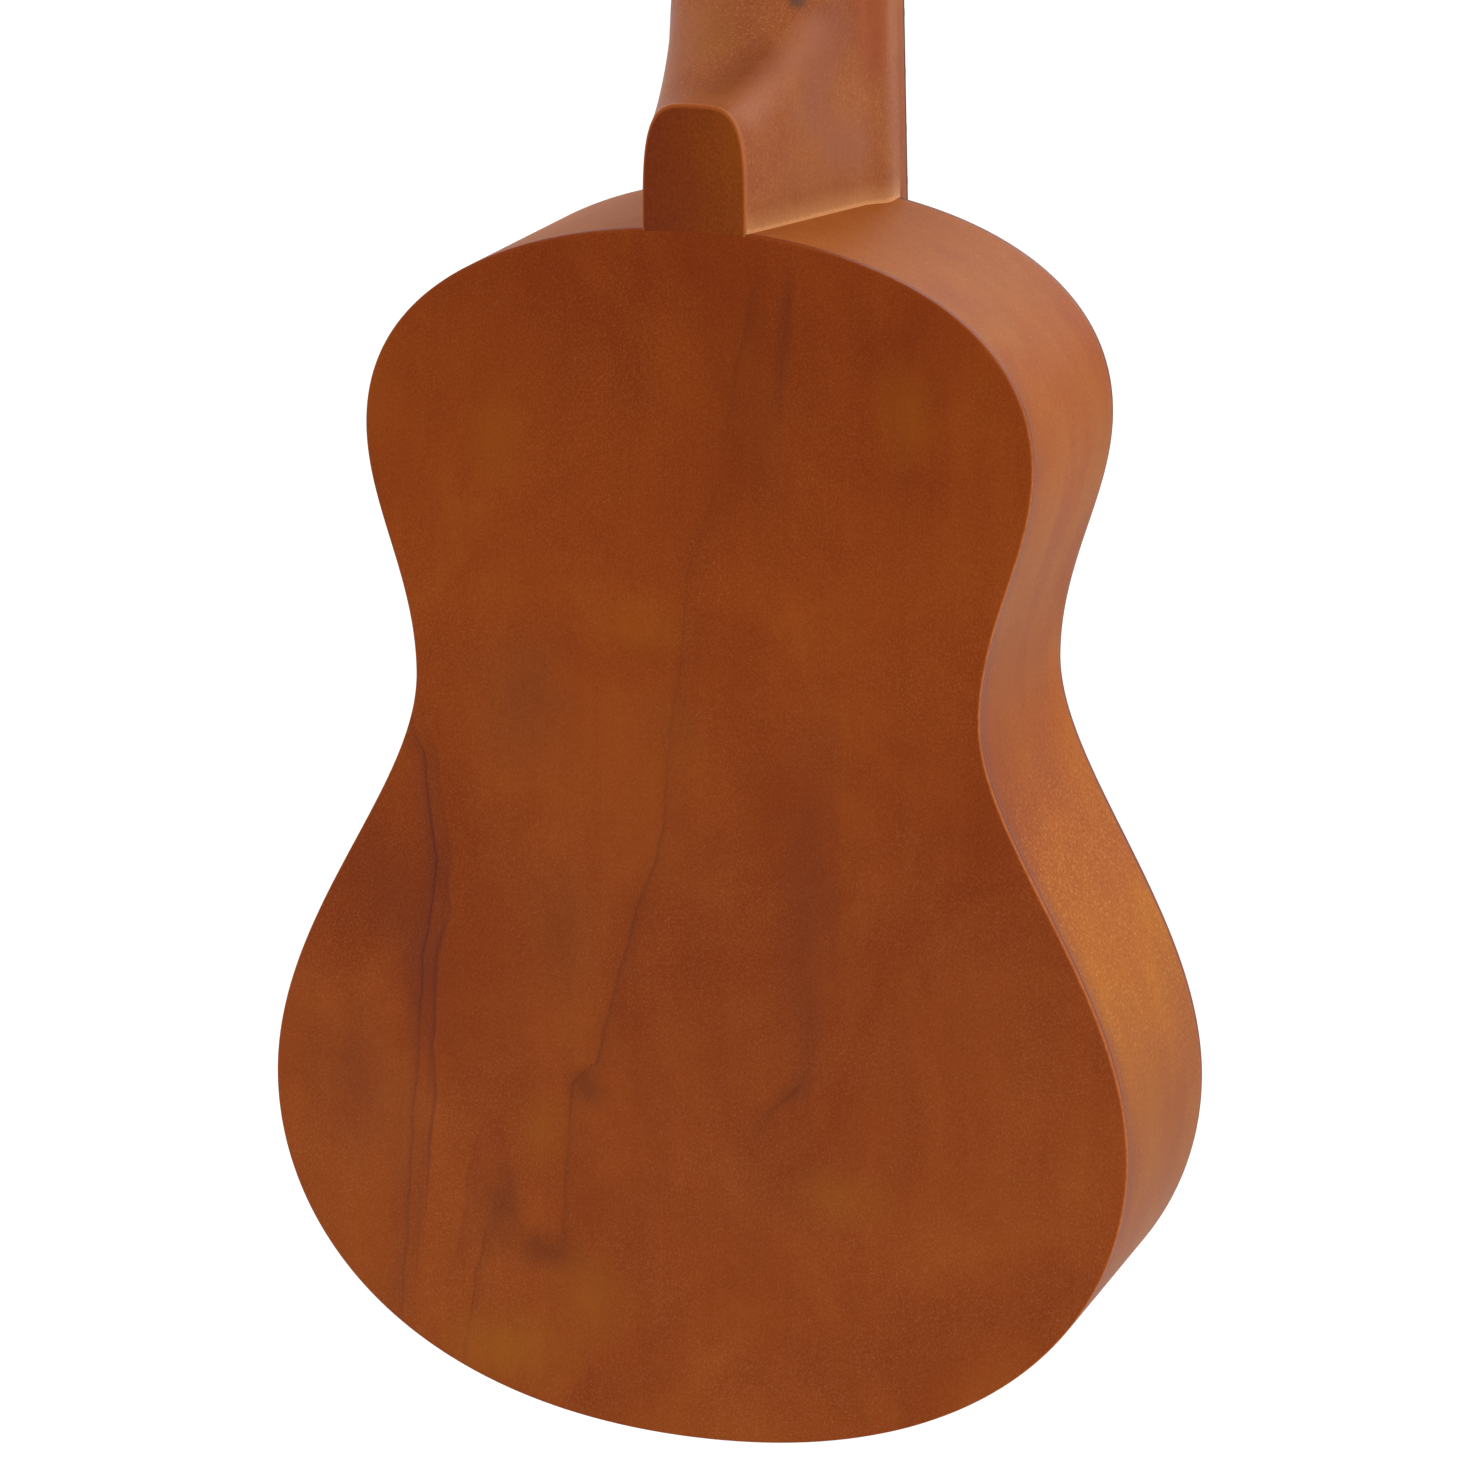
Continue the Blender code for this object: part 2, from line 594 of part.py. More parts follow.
def shaft_ring(z):
    """A section of the shaft and heel, level at a height."""
    height = z - BODY_TOP
    width = neck_half_width(min(z, 0))
    shaft = float(shaft_depth(z))
    full = float(heel_depth(max(height, 0), shaft))
    over_cap = height - HEEL_CAP_HEIGHT
    depths = section_depths(full, 1 - smoothstep(over_cap, 0, HEEL_SWEEP))
    plain = rounded(depths, shaft, width, 0, SHAFT_ROUNDNESS)
    heel = heel_half_width(depths, max(height, 0), shaft)
    near = np.clip(HEEL_BLEND - np.abs(plain - heel), 0, None)
    fade = 1 - smoothstep(height, HEEL_CAP_HEIGHT + HEEL_SWEEP * 0.6, HEEL_CAP_HEIGHT + HEEL_SWEEP)
    blended = np.maximum(plain, heel) + fade * near**2 / (4 * HEEL_BLEND)
    ring = half_ring(depths, np.minimum(blended, width))
    return np.stack([ring[:, 0], ring[:, 1], np.full(len(ring), z)], axis=1)


def head_half_width(v):
    """Half the headstock's width at a distance from the nut's far side, along the headstock."""
    flare = smoothstep(v, 0, HEAD_FLARE_LENGTH)
    crown_start = HEAD_LENGTH - HEAD_CROWN_LENGTH
    grow = np.clip((v - HEAD_FLARE_LENGTH) / (crown_start - HEAD_FLARE_LENGTH), 0, 1)
    wide = HEAD_SHOULDER_WIDTH + (HEAD_TOP_WIDTH - HEAD_SHOULDER_WIDTH) * grow
    over = np.clip((v - crown_start) / HEAD_CROWN_LENGTH, 0, 1) ** HEAD_CROWN_ROUNDNESS
    return (NUT_WIDTH + (wide - NUT_WIDTH) * flare) / 2 * (1 - over) ** (1 / HEAD_CROWN_ROUNDNESS)


def head_point(x, v, depth):
    """A point of the headstock: across, along its front face, and back from that face."""
    return HEAD_START + Vector((x, 0, 0)) + v * HEAD_UP + depth * HEAD_BACK


def head_ring(v):
    """A section of the headstock. Just over the nut it turns from the shaft's section to a flat one."""
    turned = float(smoothstep(v, -HEAD_FLARE_LENGTH / 2, HEAD_FLARE_LENGTH))
    width = float(head_half_width(max(v, 0))) if v > 0 else float(neck_half_width(min(v, 0)))
    full = SHAFT_DEPTH_NUT + (HEAD_THICKNESS - SHAFT_DEPTH_NUT) * turned
    flat = max(width - HEAD_EDGE_RADIUS, width / 4) * turned
    depths = section_depths(full, turned)
    ring = half_ring(depths, rounded(depths, full, width, flat, SHAFT_ROUNDNESS + 6 * turned))
    angle = HEAD_TILT * turned
    front = HEAD_START + v * (HEAD_UP if v > 0 else Vector((0, 0, 1)))
    x, depth = ring[:, 0], ring[:, 1]
    return np.stack([x, front.y + depth * math.cos(angle), front.z - depth * math.sin(angle)], axis=1)


def neck_stations():
    cap_top = BODY_TOP + HEEL_CAP_HEIGHT
    arch = cap_top - HEEL_CAP_HEIGHT * (1 - np.sin(np.linspace(0, 1, 8) * math.pi / 2))
    sweep = cap_top + HEEL_SWEEP * (1 - np.cos(np.linspace(0, 1, 9)[1:] * math.pi / 2))
    shaft = np.linspace(cap_top + HEEL_SWEEP, -HEAD_FLARE_LENGTH, 6)[1:]
    return np.concatenate([[BODY_TOP - HEEL_BLEND], arch, sweep, shaft])


def head_stations():
    crown_start = HEAD_LENGTH - HEAD_CROWN_LENGTH
    flare = np.linspace(-HEAD_FLARE_LENGTH / 2, HEAD_FLARE_LENGTH, 9)
    crown = crown_start + HEAD_CROWN_LENGTH * np.sin(np.linspace(0, 0.96, 10) * math.pi / 2)
    above_tuners = POST_ROWS[-1] + 2 * BUSHING_FLANGE_RADIUS
    return np.unique(np.concatenate([flare, [above_tuners], crown]))


def make_neck():
    rings = [shaft_ring(float(z)) for z in neck_stations()] + [head_ring(float(v)) for v in head_stations()]
    neck = lofted("neck", np.array(rings), STAINED_WOOD, wrap=False)
    mirror = neck.modifiers.new("other half", "MIRROR")
    mirror.use_clip = True
    mirror.merge_threshold = 1e-6
    over = SIDE_THICKNESS
    body_space = flat_piece("body_space", [whole_outline(-GLUE_GAP)], BODY_DEPTH + 2 * over, PALE_WOOD,
                            in_face_plane(BODY_DEPTH / 2))
    combine(neck, body_space, "DIFFERENCE")
    tenon = box("tenon", (-TENON_WIDTH / 2, INNER_FRONT, BODY_TOP - TENON_LENGTH),
                (TENON_WIDTH / 2, INNER_BACK, BODY_TOP + 2 * over), STAINED_WOOD)
    combine(neck, tenon, "UNION")
    hole_radius = BUSHING_SLEEVE_RADIUS + GLUE_GAP
    for label, _, side, row in STRINGS:
        centre = head_point(side * POST_FROM_CENTRE, POST_ROWS[row], HEAD_THICKNESS / 2)
        matrix = Matrix.Translation(centre) @ HEAD_BACK.to_track_quat("Z", "Y").to_matrix().to_4x4()
        hole = cylinder(f"post_hole_{label}", hole_radius, 2 * HEAD_THICKNESS, STAINED_WOOD, matrix)
        combine(neck, hole, "DIFFERENCE")
    smooth(neck)


# Fretboard, frets, dots and nut


ACROSS = Matrix(((0, 0, 1, 0), (0, -1, 0, 0), (1, 0, 0, 0), (0, 0, 0, 1)))  # local X, Y, Z to Z, -Y and X


def make_fretboard():
    end, start = FRETBOARD_END, -GLUE_GAP
    corners = [(neck_half_width(end), end), (neck_half_width(start), start)]
    loop = np.array(corners + [(-x, z) for x, z in corners[::-1]])
    middle = -(GLUE_GAP + FRETBOARD_THICKNESS / 2)
    fretboard = flat_piece("fretboard", [loop], FRETBOARD_THICKNESS, DARK_WOOD, in_face_plane(middle))
    slot_half = FRET_TANG_WIDTH / 2 + FRET_SLOT_CLEARANCE
    slot_floor = FRETBOARD_FRONT + FRET_TANG_DEPTH + GLUE_GAP
    for number in range(1, FRET_COUNT + 1):
        z = -fret_distance(number)
        slot = box(f"fret_slot_{number}", (-JOINT_WIDTH, FRETBOARD_FRONT - FRET_HEIGHT, z - slot_half),
                   (JOINT_WIDTH, slot_floor, z + slot_half), DARK_WOOD)
        combine(fretboard, slot, "DIFFERENCE")
        fret(number, z)
    for number in DOT_FRETS:
        z = -(fret_distance(number) + fret_distance(number - 1)) / 2
        pocket = cylinder(f"dot_pocket_{number}", DOT_RADIUS + FRET_SLOT_CLEARANCE,
                          2 * (DOT_THICKNESS + GLUE_GAP), DARK_WOOD, in_face_plane(FRETBOARD_FRONT, z),
                          sides=DOT_STEPS)
        combine(fretboard, pocket, "DIFFERENCE")
        cylinder(f"position_dot_{number}", DOT_RADIUS, DOT_THICKNESS, WHITE_PLASTIC,
                 in_face_plane(FRETBOARD_FRONT + DOT_THICKNESS / 2, z), sides=DOT_STEPS)


def fret(number, z):
    """A fret wire: a low crown over the board and a tang down in its slot."""
    seat = -FRETBOARD_FRONT + GLUE_GAP
    angle = np.linspace(0, math.pi, 7)
    crown = np.stack([FRET_WIDTH / 2 * np.cos(angle), seat + FRET_HEIGHT * np.sin(angle)], axis=1)
    foot = seat - GLUE_GAP - FRET_TANG_DEPTH
    tang = FRET_TANG_WIDTH / 2
    loop = np.concatenate([crown, [(-tang, seat), (-tang, foot), (tang, foot), (tang, seat)]])
    length = 2 * (neck_half_width(z) - FRET_END_INSET)
    flat_piece(f"fret_{number:02d}", [loop], length, FRET_METAL, Matrix.Translation((0, 0, z)) @ ACROSS)


def string_x(index, spacing):
    return (index - (len(STRINGS) - 1) / 2) * spacing


def string_heights(gauge):
    """How far a string's centre is in front of the glue plane, at the nut and at the saddle."""
    fret_top = -FRET_TOP + gauge / 2
    nut = fret_top + NUT_ACTION
    return nut, nut + 2 * (fret_top + ACTION - nut)


def make_nut():
    top = FRETBOARD_FRONT - NUT_RISE
    half = NUT_WIDTH / 2
    nut = box("nut", (-half, top, 0), (half, -GLUE_GAP, NUT_THICKNESS), WHITE_PLASTIC)
    for index, (label, gauge, _, _) in enumerate(STRINGS):
        height, _ = string_heights(gauge)
        slot_half = gauge / 2 + GLUE_GAP
        x = string_x(index, NUT_STRING_SPACING)
        slot = box(f"nut_slot_{label}", (x - slot_half, top - GLUE_GAP, -NUT_THICKNESS),
                   (x + slot_half, -height + slot_half, 2 * NUT_THICKNESS), WHITE_PLASTIC)
        combine(nut, slot, "DIFFERENCE")


# Bridge, saddle and strings


def make_bridge():
    """Low wings that rise to the middle, a seat for the saddle, and a slot and pocket for each string."""
    half, centre = BRIDGE_LENGTH / 2, BRIDGE_CENTRE_LENGTH / 2
    t = np.linspace(0, 1, 5)
    rise = BRIDGE_WING_HEIGHT + (BRIDGE_HEIGHT - BRIDGE_WING_HEIGHT) * (1 - np.cos(t * math.pi)) / 2
    wing = np.stack([half - (half - centre) * t, -GLUE_GAP - rise], axis=1)
    right = np.concatenate([[(half, -GLUE_GAP)], wing])
    loop = np.concatenate([right, right[::-1] * (-1, 1)])
    low, high = SADDLE_Z - BRIDGE_BACK, SADDLE_Z + BRIDGE_FRONT
    middle = Matrix.Translation((0, 0, (low + high) / 2))
    bridge = flat_piece("bridge", [loop], high - low, DARK_WOOD, middle)
    top = -GLUE_GAP - BRIDGE_HEIGHT
    seat_half, seat_thick = SADDLE_LENGTH / 2 + GLUE_GAP, SADDLE_THICKNESS / 2 + GLUE_GAP
    seat = box("saddle_seat", (-seat_half, top - BRIDGE_HEIGHT, SADDLE_Z - seat_thick),
               (seat_half, top + SADDLE_SEAT_DEPTH, SADDLE_Z + seat_thick), DARK_WOOD)
    combine(bridge, seat, "DIFFERENCE")
    slot_floor = top + STRING_SLOT_DEPTH
    for index, (label, gauge, _, _) in enumerate(STRINGS):
        x = string_x(index, SADDLE_STRING_SPACING)
        wide = gauge / 2 + GLUE_GAP
        slot = box(f"string_slot_{label}", (x - wide, top - BRIDGE_HEIGHT, low - BRIDGE_BACK),
                   (x + wide, slot_floor, SADDLE_Z - SADDLE_THICKNESS), DARK_WOOD)
        combine(bridge, slot, "DIFFERENCE")
        wide = KNOT_POCKET_WIDTH / 2
        pocket = box(f"knot_pocket_{label}", (x - wide, top - BRIDGE_HEIGHT, low - BRIDGE_BACK),
                     (x + wide, slot_floor + GLUE_GAP, low + KNOT_POCKET_LENGTH), DARK_WOOD)
        combine(bridge, pocket, "DIFFERENCE")


def make_saddle():
    """The saddle, with a rounded crest just under the strings."""
    thinnest = min(gauge for _, gauge, _, _ in STRINGS)
    _, height = string_heights(thinnest)
    crest = height - thinnest / 2 - GLUE_GAP
    foot = GLUE_GAP + BRIDGE_HEIGHT - SADDLE_SEAT_DEPTH + GLUE_GAP
    radius = SADDLE_THICKNESS / 2
    angle = np.linspace(0, math.pi, 7)
    arc = np.stack([radius * np.cos(angle), crest - radius + radius * np.sin(angle)], axis=1)
    loop = np.concatenate([arc, [(-radius, foot), (radius, foot)]])
    flat_piece("saddle", [loop], SADDLE_LENGTH, WHITE_PLASTIC, Matrix.Translation((0, 0, SADDLE_Z)) @ ACROSS)


def winding_radius(gauge):
    return POST_RADIUS + gauge


def winding_level(gauge):
    """Height over the headstock's front of the first turn of the string on its post."""
    return WINDING_HEIGHT + gauge / 2


def string_end(index, gauge, side, row, nut_point):
    """Where the string first lies along its winding, on the side of the post that faces the centre line."""
    centre = np.array([side * POST_FROM_CENTRE, POST_ROWS[row]])
    start = np.array([nut_point[0], 0.0])
    radius = winding_radius(gauge) + gauge / 2 + GLUE_GAP
    away = start - centre
    distance = np.linalg.norm(away)
    spread = math.acos(radius / distance)
    base = math.atan2(away[1], away[0])
    angle = base + side * -spread
    x = float(centre[0]) + radius * math.cos(angle)
    v = float(centre[1]) + radius * math.sin(angle)
    return head_point(x, v, -winding_level(gauge))


def make_strings():
    """Each string: knot, up through the bridge, over the saddle and the nut, and on to its winding."""
    slot_floor = GLUE_GAP + BRIDGE_HEIGHT - STRING_SLOT_DEPTH
    knot_z = SADDLE_Z - BRIDGE_BACK + KNOT_POCKET_LENGTH - GLUE_GAP - KNOT_RADIUS
    for index, (label, gauge, side, row) in enumerate(STRINGS):
        nut_height, saddle_height = string_heights(gauge)
        at_saddle, at_nut = (string_x(index, s) for s in (SADDLE_STRING_SPACING, NUT_STRING_SPACING))
        lie = slot_floor + GLUE_GAP + KNOT_RADIUS
        nut_point = Vector((at_nut, -nut_height, NUT_THICKNESS))
        points = [
            (at_saddle, -lie, knot_z - KNOT_RADIUS),
            (at_saddle, -lie, knot_z - KNOT_RADIUS / 2),
            (at_saddle, -lie, knot_z + KNOT_RADIUS / 2),
            (at_saddle, -lie, knot_z + KNOT_RADIUS),
            (at_saddle, -saddle_height, SADDLE_Z - SADDLE_THICKNESS / 4),
            (at_saddle, -saddle_height, SADDLE_Z),
            (at_nut, -nut_height, 0),
            nut_point,
            string_end(index, gauge, side, row, nut_point),
        ]
        radius = gauge / 2
        radii = [radius, KNOT_RADIUS, KNOT_RADIUS] + [radius] * (len(points) - 3)
        tube(f"string_{label}", points, radii, NYLON)


# Tuners


LYING = Matrix.Rotation(math.pi / 2, 4, "Y")  # turns local Z to X


def tuner_seat(label, side, row):
    """An empty on the post's axis at the headstock's back: local X out to the button, local Z back."""
    seat = bpy.data.objects.new(f"tuner_{label}_seat", None)
    UKULELE.objects.link(seat)
    out = Vector((side, 0, 0))
    matrix = Matrix((out, HEAD_BACK.cross(out), HEAD_BACK)).transposed().to_4x4()
    matrix.translation = head_point(side * POST_FROM_CENTRE, POST_ROWS[row], HEAD_THICKNESS)
    seat.matrix_world = matrix
    bpy.context.view_layer.update()
    return seat


def plate_outline(lean):
    """The base plate's outline, round at both ends, longer on the worm's side."""
    half = PLATE_WIDTH / 2
    head = WORM_OFFSET + WORM_OUTER + 2 * SCREW_HEAD_RADIUS + PLATE_SCREW_INSET
    angle = np.linspace(0, math.pi, 9)
    far = np.stack([half * np.cos(angle), head - half + half * np.sin(angle)], axis=1)
    near = np.stack([-half * np.cos(angle), half - PLATE_TAIL - half * np.sin(angle)], axis=1)
    return np.concatenate([far, near]) * (1, lean), head


def make_tuner_plate(label, seat, lean):
    """The base plate, its two ears that carry the worm shaft, and its two screws."""
    loop, head = plate_outline(lean)
    plate = flat_piece(f"tuner_{label}_plate", [loop], PLATE_THICKNESS, NICKEL,
                       Matrix.Translation((0, 0, GLUE_GAP + PLATE_THICKNESS / 2)), seat)
    overlap = PLATE_THICKNESS / 2
    for end, v in (("far", head - PLATE_SCREW_INSET), ("near", PLATE_SCREW_INSET - PLATE_TAIL)):
        place = Matrix.Translation((0, lean * v, PLATE_SEAT + (SCREW_HEAD_HEIGHT - overlap) / 2))
        screw = cylinder(f"{end}_screw_{label}", SCREW_HEAD_RADIUS, SCREW_HEAD_HEIGHT + overlap, NICKEL,
                         place, seat, 10)
        combine(plate, screw, "UNION")
    ear_low, ear_high = (lean * (WORM_OFFSET + d) for d in (-WORM_OUTER, WORM_OUTER))
    for end, side in (("outer", 1), ("inner", -1)):
        x = side * (PLATE_WIDTH - EAR_THICKNESS) / 2
        ear = box(f"{end}_ear_{label}", (x - EAR_THICKNESS / 2, min(ear_low, ear_high), PLATE_SEAT - overlap),
                  (x + EAR_THICKNESS / 2, max(ear_low, ear_high), WHEEL_LEVEL + WORM_OUTER), NICKEL, seat)
        combine(plate, ear, "UNION")
    worm_axis = Matrix.Translation((0, lean * WORM_OFFSET, WHEEL_LEVEL))
    bearing = cylinder(f"bearing_{label}", SHAFT_RADIUS + SHAFT_CLEARANCE, 2 * PLATE_WIDTH, NICKEL,
                       worm_axis @ LYING, seat, 12)
    combine(plate, bearing, "DIFFERENCE")
    hole_radius = POST_RADIUS + POST_CLEARANCE + GLUE_GAP
    hole = cylinder(f"plate_hole_{label}", hole_radius, 4 * PLATE_THICKNESS, NICKEL,
                    Matrix.Translation((0, 0, PLATE_SEAT)), seat, 12)
    combine(plate, hole, "DIFFERENCE")


def button_start(side, row):
    """Distance from the post's axis out to the button's inner end, clear of the headstock's edge."""
    edge = max(float(head_half_width(POST_ROWS[row] + d)) for d in (0, WORM_OFFSET, 2 * WORM_OFFSET))
    return edge - POST_FROM_CENTRE + BUTTON_CLEARANCE


def make_worm_shaft(label, seat, lean, start):
    """The shaft with its worm: the radius follows one right-handed thread between the ears."""
    half = WORM_LENGTH / 2
    rows = int(WORM_THREAD_TURNS * WORM_ROWS_PER_TURN)
    thread = np.linspace(-half, half, rows + 1)
    inner = -(PLATE_WIDTH / 2 + SHAFT_STUB)
    stations = np.concatenate([[inner, -half - SHAFT_STUB], thread, [half + SHAFT_STUB, start + BUTTON_GRIP]])
    angle = np.arange(WORM_SIDES) / WORM_SIDES * 2 * math.pi
    phase = stations[:, None] / WORM_PITCH - angle[None, :] / (2 * math.pi)
    ridge = np.clip(WORM_THREAD_FULLNESS + WORM_THREAD_STEEPNESS * np.cos(2 * math.pi * phase), 0, 1)
    on_thread = (np.abs(stations) < half - 1e-9)[:, None]
    radius = SHAFT_RADIUS + on_thread * ridge * (WORM_OUTER - SHAFT_RADIUS)
    # Angle 0 faces the wheel, and angles go right-handed about the shaft's outward axis.
    y, z = -lean * radius * np.cos(angle), -lean * radius * np.sin(angle)
    x = np.broadcast_to(stations[:, None], radius.shape)
    shaft = lofted(f"tuner_{label}_worm_shaft", np.stack([x, y, z], axis=2), NICKEL,
                   Matrix.Translation((0, lean * WORM_OFFSET, WHEEL_LEVEL)), seat)
    return smooth(shaft)


def make_button(label, seat, lean, start):
    """A flat oval button, narrow at the shaft and full at its outer end, with a bore for the shaft."""
    cage = bmesh.new()
    bmesh.ops.create_cube(cage, size=1)
    along = [e for e in cage.edges if abs(e.verts[0].co.x - e.verts[1].co.x) > 0.5]
    bmesh.ops.subdivide_edges(cage, edges=along, cuts=1)
    for vert in cage.verts:
        share = vert.co.x + 0.5
        vert.co.x = share * BUTTON_LENGTH
        vert.co.y *= BUTTON_WIDTH * float(np.interp(share, (0, 0.5, 1), BUTTON_SWELL))
        vert.co.z *= BUTTON_THICKNESS * BUTTON_CAGE
    mesh = bpy.data.meshes.new(f"tuner_{label}_button")
    cage.to_mesh(mesh)
    cage.free()
    place = Matrix.Translation((start, lean * WORM_OFFSET, WHEEL_LEVEL))
    button = add_mesh(mesh.name, mesh, WHITE_PLASTIC, place, seat)
    soft = button.modifiers.new("soften", "SUBSURF")
    soft.levels = soft.render_levels = 2
    bore_length = BUTTON_GRIP + GLUE_GAP
    bore = cylinder(f"button_bore_{label}", SHAFT_RADIUS + GLUE_GAP, 2 * bore_length, WHITE_PLASTIC,
                    place @ LYING, seat, 10)
    combine(button, bore, "DIFFERENCE")
    return smooth(button)


def wheel_outline():
    """The wheel's toothed outline. A gap faces local +Y or -Y, where the worm's thread runs through it."""
    tip, root = PITCH_RADIUS + TOOTH_HEIGHT - TOOTH_CLEARANCE, PITCH_RADIUS - TOOTH_DEPTH
    step = 2 * math.pi / WHEEL_TEETH
    points = []
    for tooth in range(WHEEL_TEETH):
        middle = math.pi / 2 + (tooth + 0.5) * step
        for share, radius in ((-TOOTH_ROOT_SHARE, root), (-TOOTH_TIP_SHARE, tip),
                              (TOOTH_TIP_SHARE, tip), (TOOTH_ROOT_SHARE, root)):
            angle = middle + share * step
            points.append((radius * math.cos(angle), radius * math.sin(angle)))
    return np.array(points)


def make_post(label, gauge, seat):
    """The string post: wheel screw, wheel, collar, shaft through the headstock, string winding and tip."""
    front = -HEAD_THICKNESS
    wheel_top, wheel_bottom = WHEEL_LEVEL + WHEEL_THICKNESS / 2, WHEEL_LEVEL - WHEEL_THICKNESS / 2
    winding = front - WINDING_HEIGHT
    profile = [(0, wheel_top + SCREW_HEAD_HEIGHT), (SCREW_HEAD_RADIUS, wheel_top + SCREW_HEAD_HEIGHT),
               (SCREW_HEAD_RADIUS, WHEEL_LEVEL), (WHEEL_COLLAR_RADIUS, WHEEL_LEVEL),
               (WHEEL_COLLAR_RADIUS, PLATE_SEAT + GLUE_GAP), (POST_RADIUS, PLATE_SEAT + GLUE_GAP),
               (POST_RADIUS, winding)]
    for turn in range(WINDING_TURNS):
        level = winding - turn * gauge
        profile += [(winding_radius(gauge), level - gauge / 2),
                    (POST_RADIUS + gauge * WINDING_VALLEY, level - gauge)]
    tip = front - POST_RISE
    profile[-1] = (POST_RADIUS, winding - WINDING_TURNS * gauge)
    profile += [(POST_RADIUS, tip + POST_RADIUS / 3), (POST_TIP_RADIUS, tip), (0, tip)]
    post = turned_piece(f"tuner_{label}_post", profile, NICKEL, None, seat, 12)
    wheel = flat_piece(f"wheel_{label}", [wheel_outline()], WHEEL_THICKNESS, NICKEL,
                       Matrix.Translation((0, 0, WHEEL_LEVEL)), seat)
    lead = 1 / (WHEEL_TEETH * WORM_PITCH_RADIUS)
    for vert in wheel.data.vertices:
        vert.co = Matrix.Rotation(lead * vert.co.z, 3, "Z") @ vert.co
    combine(post, wheel, "UNION")
    place = Matrix.Translation((0, 0, front - STRING_HOLE_HEIGHT)) @ FACE_PLANE
    hole = cylinder(f"string_hole_{label}", STRING_HOLE_RADIUS, 4 * POST_RADIUS, NICKEL, place, seat, 8)
    combine(post, hole, "DIFFERENCE")
    return smooth(post)


def make_bushing(label, seat):
    """A flanged bushing pressed in from the front, in which the post turns."""
    front = -HEAD_THICKNESS
    bore = POST_RADIUS + POST_CLEARANCE
    seat_level = front - GLUE_GAP
    top = seat_level - BUSHING_FLANGE_THICKNESS
    sleeve_end = front + BUSHING_SLEEVE_LENGTH
    sleeve, flange = BUSHING_SLEEVE_RADIUS, BUSHING_FLANGE_RADIUS
    profile = [(bore, sleeve_end), (sleeve, sleeve_end), (sleeve, seat_level),
               (flange, seat_level), (flange, top), (bore, top), (bore, sleeve_end)]
    smooth(turned_piece(f"tuner_{label}_bushing", profile, NICKEL, None, seat, 12))


def make_tuners():
    for label, gauge, side, row in STRINGS:
        seat = tuner_seat(label, side, row)
        # Local Y points up the headstock on one side and down it on the other. The worm lies above the post.
        lean = -side
        start = button_start(side, row)
        make_tuner_plate(label, seat, lean)
        make_worm_shaft(label, seat, lean, start)
        make_button(label, seat, lean, start)
        make_post(label, gauge, seat)
        make_bushing(label, seat)


make_plates()
make_sides_and_linings()
make_blocks()
make_braces()
make_neck()
make_fretboard()
make_nut()
make_bridge()
make_saddle()
make_strings()
make_tuners()
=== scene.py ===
# %% [markdown]
# # A soprano ukulele seen from behind
#
# The back of a small ukulele in satin red-brown stain fills the picture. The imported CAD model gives
# the frame: metres, +Z up along the neck, the soundboard facing -Y, and the origin at the nut. Each
# cell makes one piece of the real instrument as a surface worked out with numpy, and gives it a
# finish made of shader nodes.

# %% Load the frame
import math

import bmesh
import bpy
import numpy as np
from mathutils import Matrix, Vector


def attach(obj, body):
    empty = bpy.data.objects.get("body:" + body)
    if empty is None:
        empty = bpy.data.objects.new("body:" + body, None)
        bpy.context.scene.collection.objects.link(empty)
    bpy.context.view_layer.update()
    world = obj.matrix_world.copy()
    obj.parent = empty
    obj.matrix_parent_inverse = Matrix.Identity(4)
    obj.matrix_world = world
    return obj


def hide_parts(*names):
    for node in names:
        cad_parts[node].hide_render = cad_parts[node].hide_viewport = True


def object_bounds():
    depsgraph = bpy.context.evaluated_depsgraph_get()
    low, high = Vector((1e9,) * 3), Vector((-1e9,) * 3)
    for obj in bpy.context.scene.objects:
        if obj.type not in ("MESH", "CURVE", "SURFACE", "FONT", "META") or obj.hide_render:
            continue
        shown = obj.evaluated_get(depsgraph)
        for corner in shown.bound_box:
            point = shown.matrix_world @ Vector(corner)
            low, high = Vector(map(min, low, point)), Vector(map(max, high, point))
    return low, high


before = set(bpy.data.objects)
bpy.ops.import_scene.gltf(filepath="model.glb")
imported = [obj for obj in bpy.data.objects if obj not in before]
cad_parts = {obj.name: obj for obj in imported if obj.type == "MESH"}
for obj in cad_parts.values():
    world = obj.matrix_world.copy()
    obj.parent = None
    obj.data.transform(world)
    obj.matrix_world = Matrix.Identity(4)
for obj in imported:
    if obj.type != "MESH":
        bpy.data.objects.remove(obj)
cad_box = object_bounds()

# %% [markdown]
# ## The camera
#
# A long lens from a little above and to the right of the back. Three unit vectors say which way the
# picture's right, its top and the camera's own back point. They are the columns of its rotation.

# %% Camera
PICTURE_RIGHT = Vector((-0.94742, -0.31999, 0.00244))
PICTURE_UP = Vector((0.0856, -0.24608, 0.96546))
CAMERA_BACK = Vector((-0.30834, 0.91491, 0.26053))
CAMERA_PLACE = Vector((-0.38811, 1.18305, 0.05162))

camera = bpy.data.objects.new("camera", bpy.data.cameras.new("camera"))
bpy.context.scene.collection.objects.link(camera)
turn = Matrix((PICTURE_RIGHT, PICTURE_UP, CAMERA_BACK)).transposed().to_4x4()
camera.matrix_world = Matrix.Translation(CAMERA_PLACE) @ turn
camera.data.sensor_width = 36
camera.data.lens = 159.046
camera.data.clip_start = 0.05
bpy.context.scene.camera = camera
bpy.context.scene.view_settings.view_transform = "Standard"

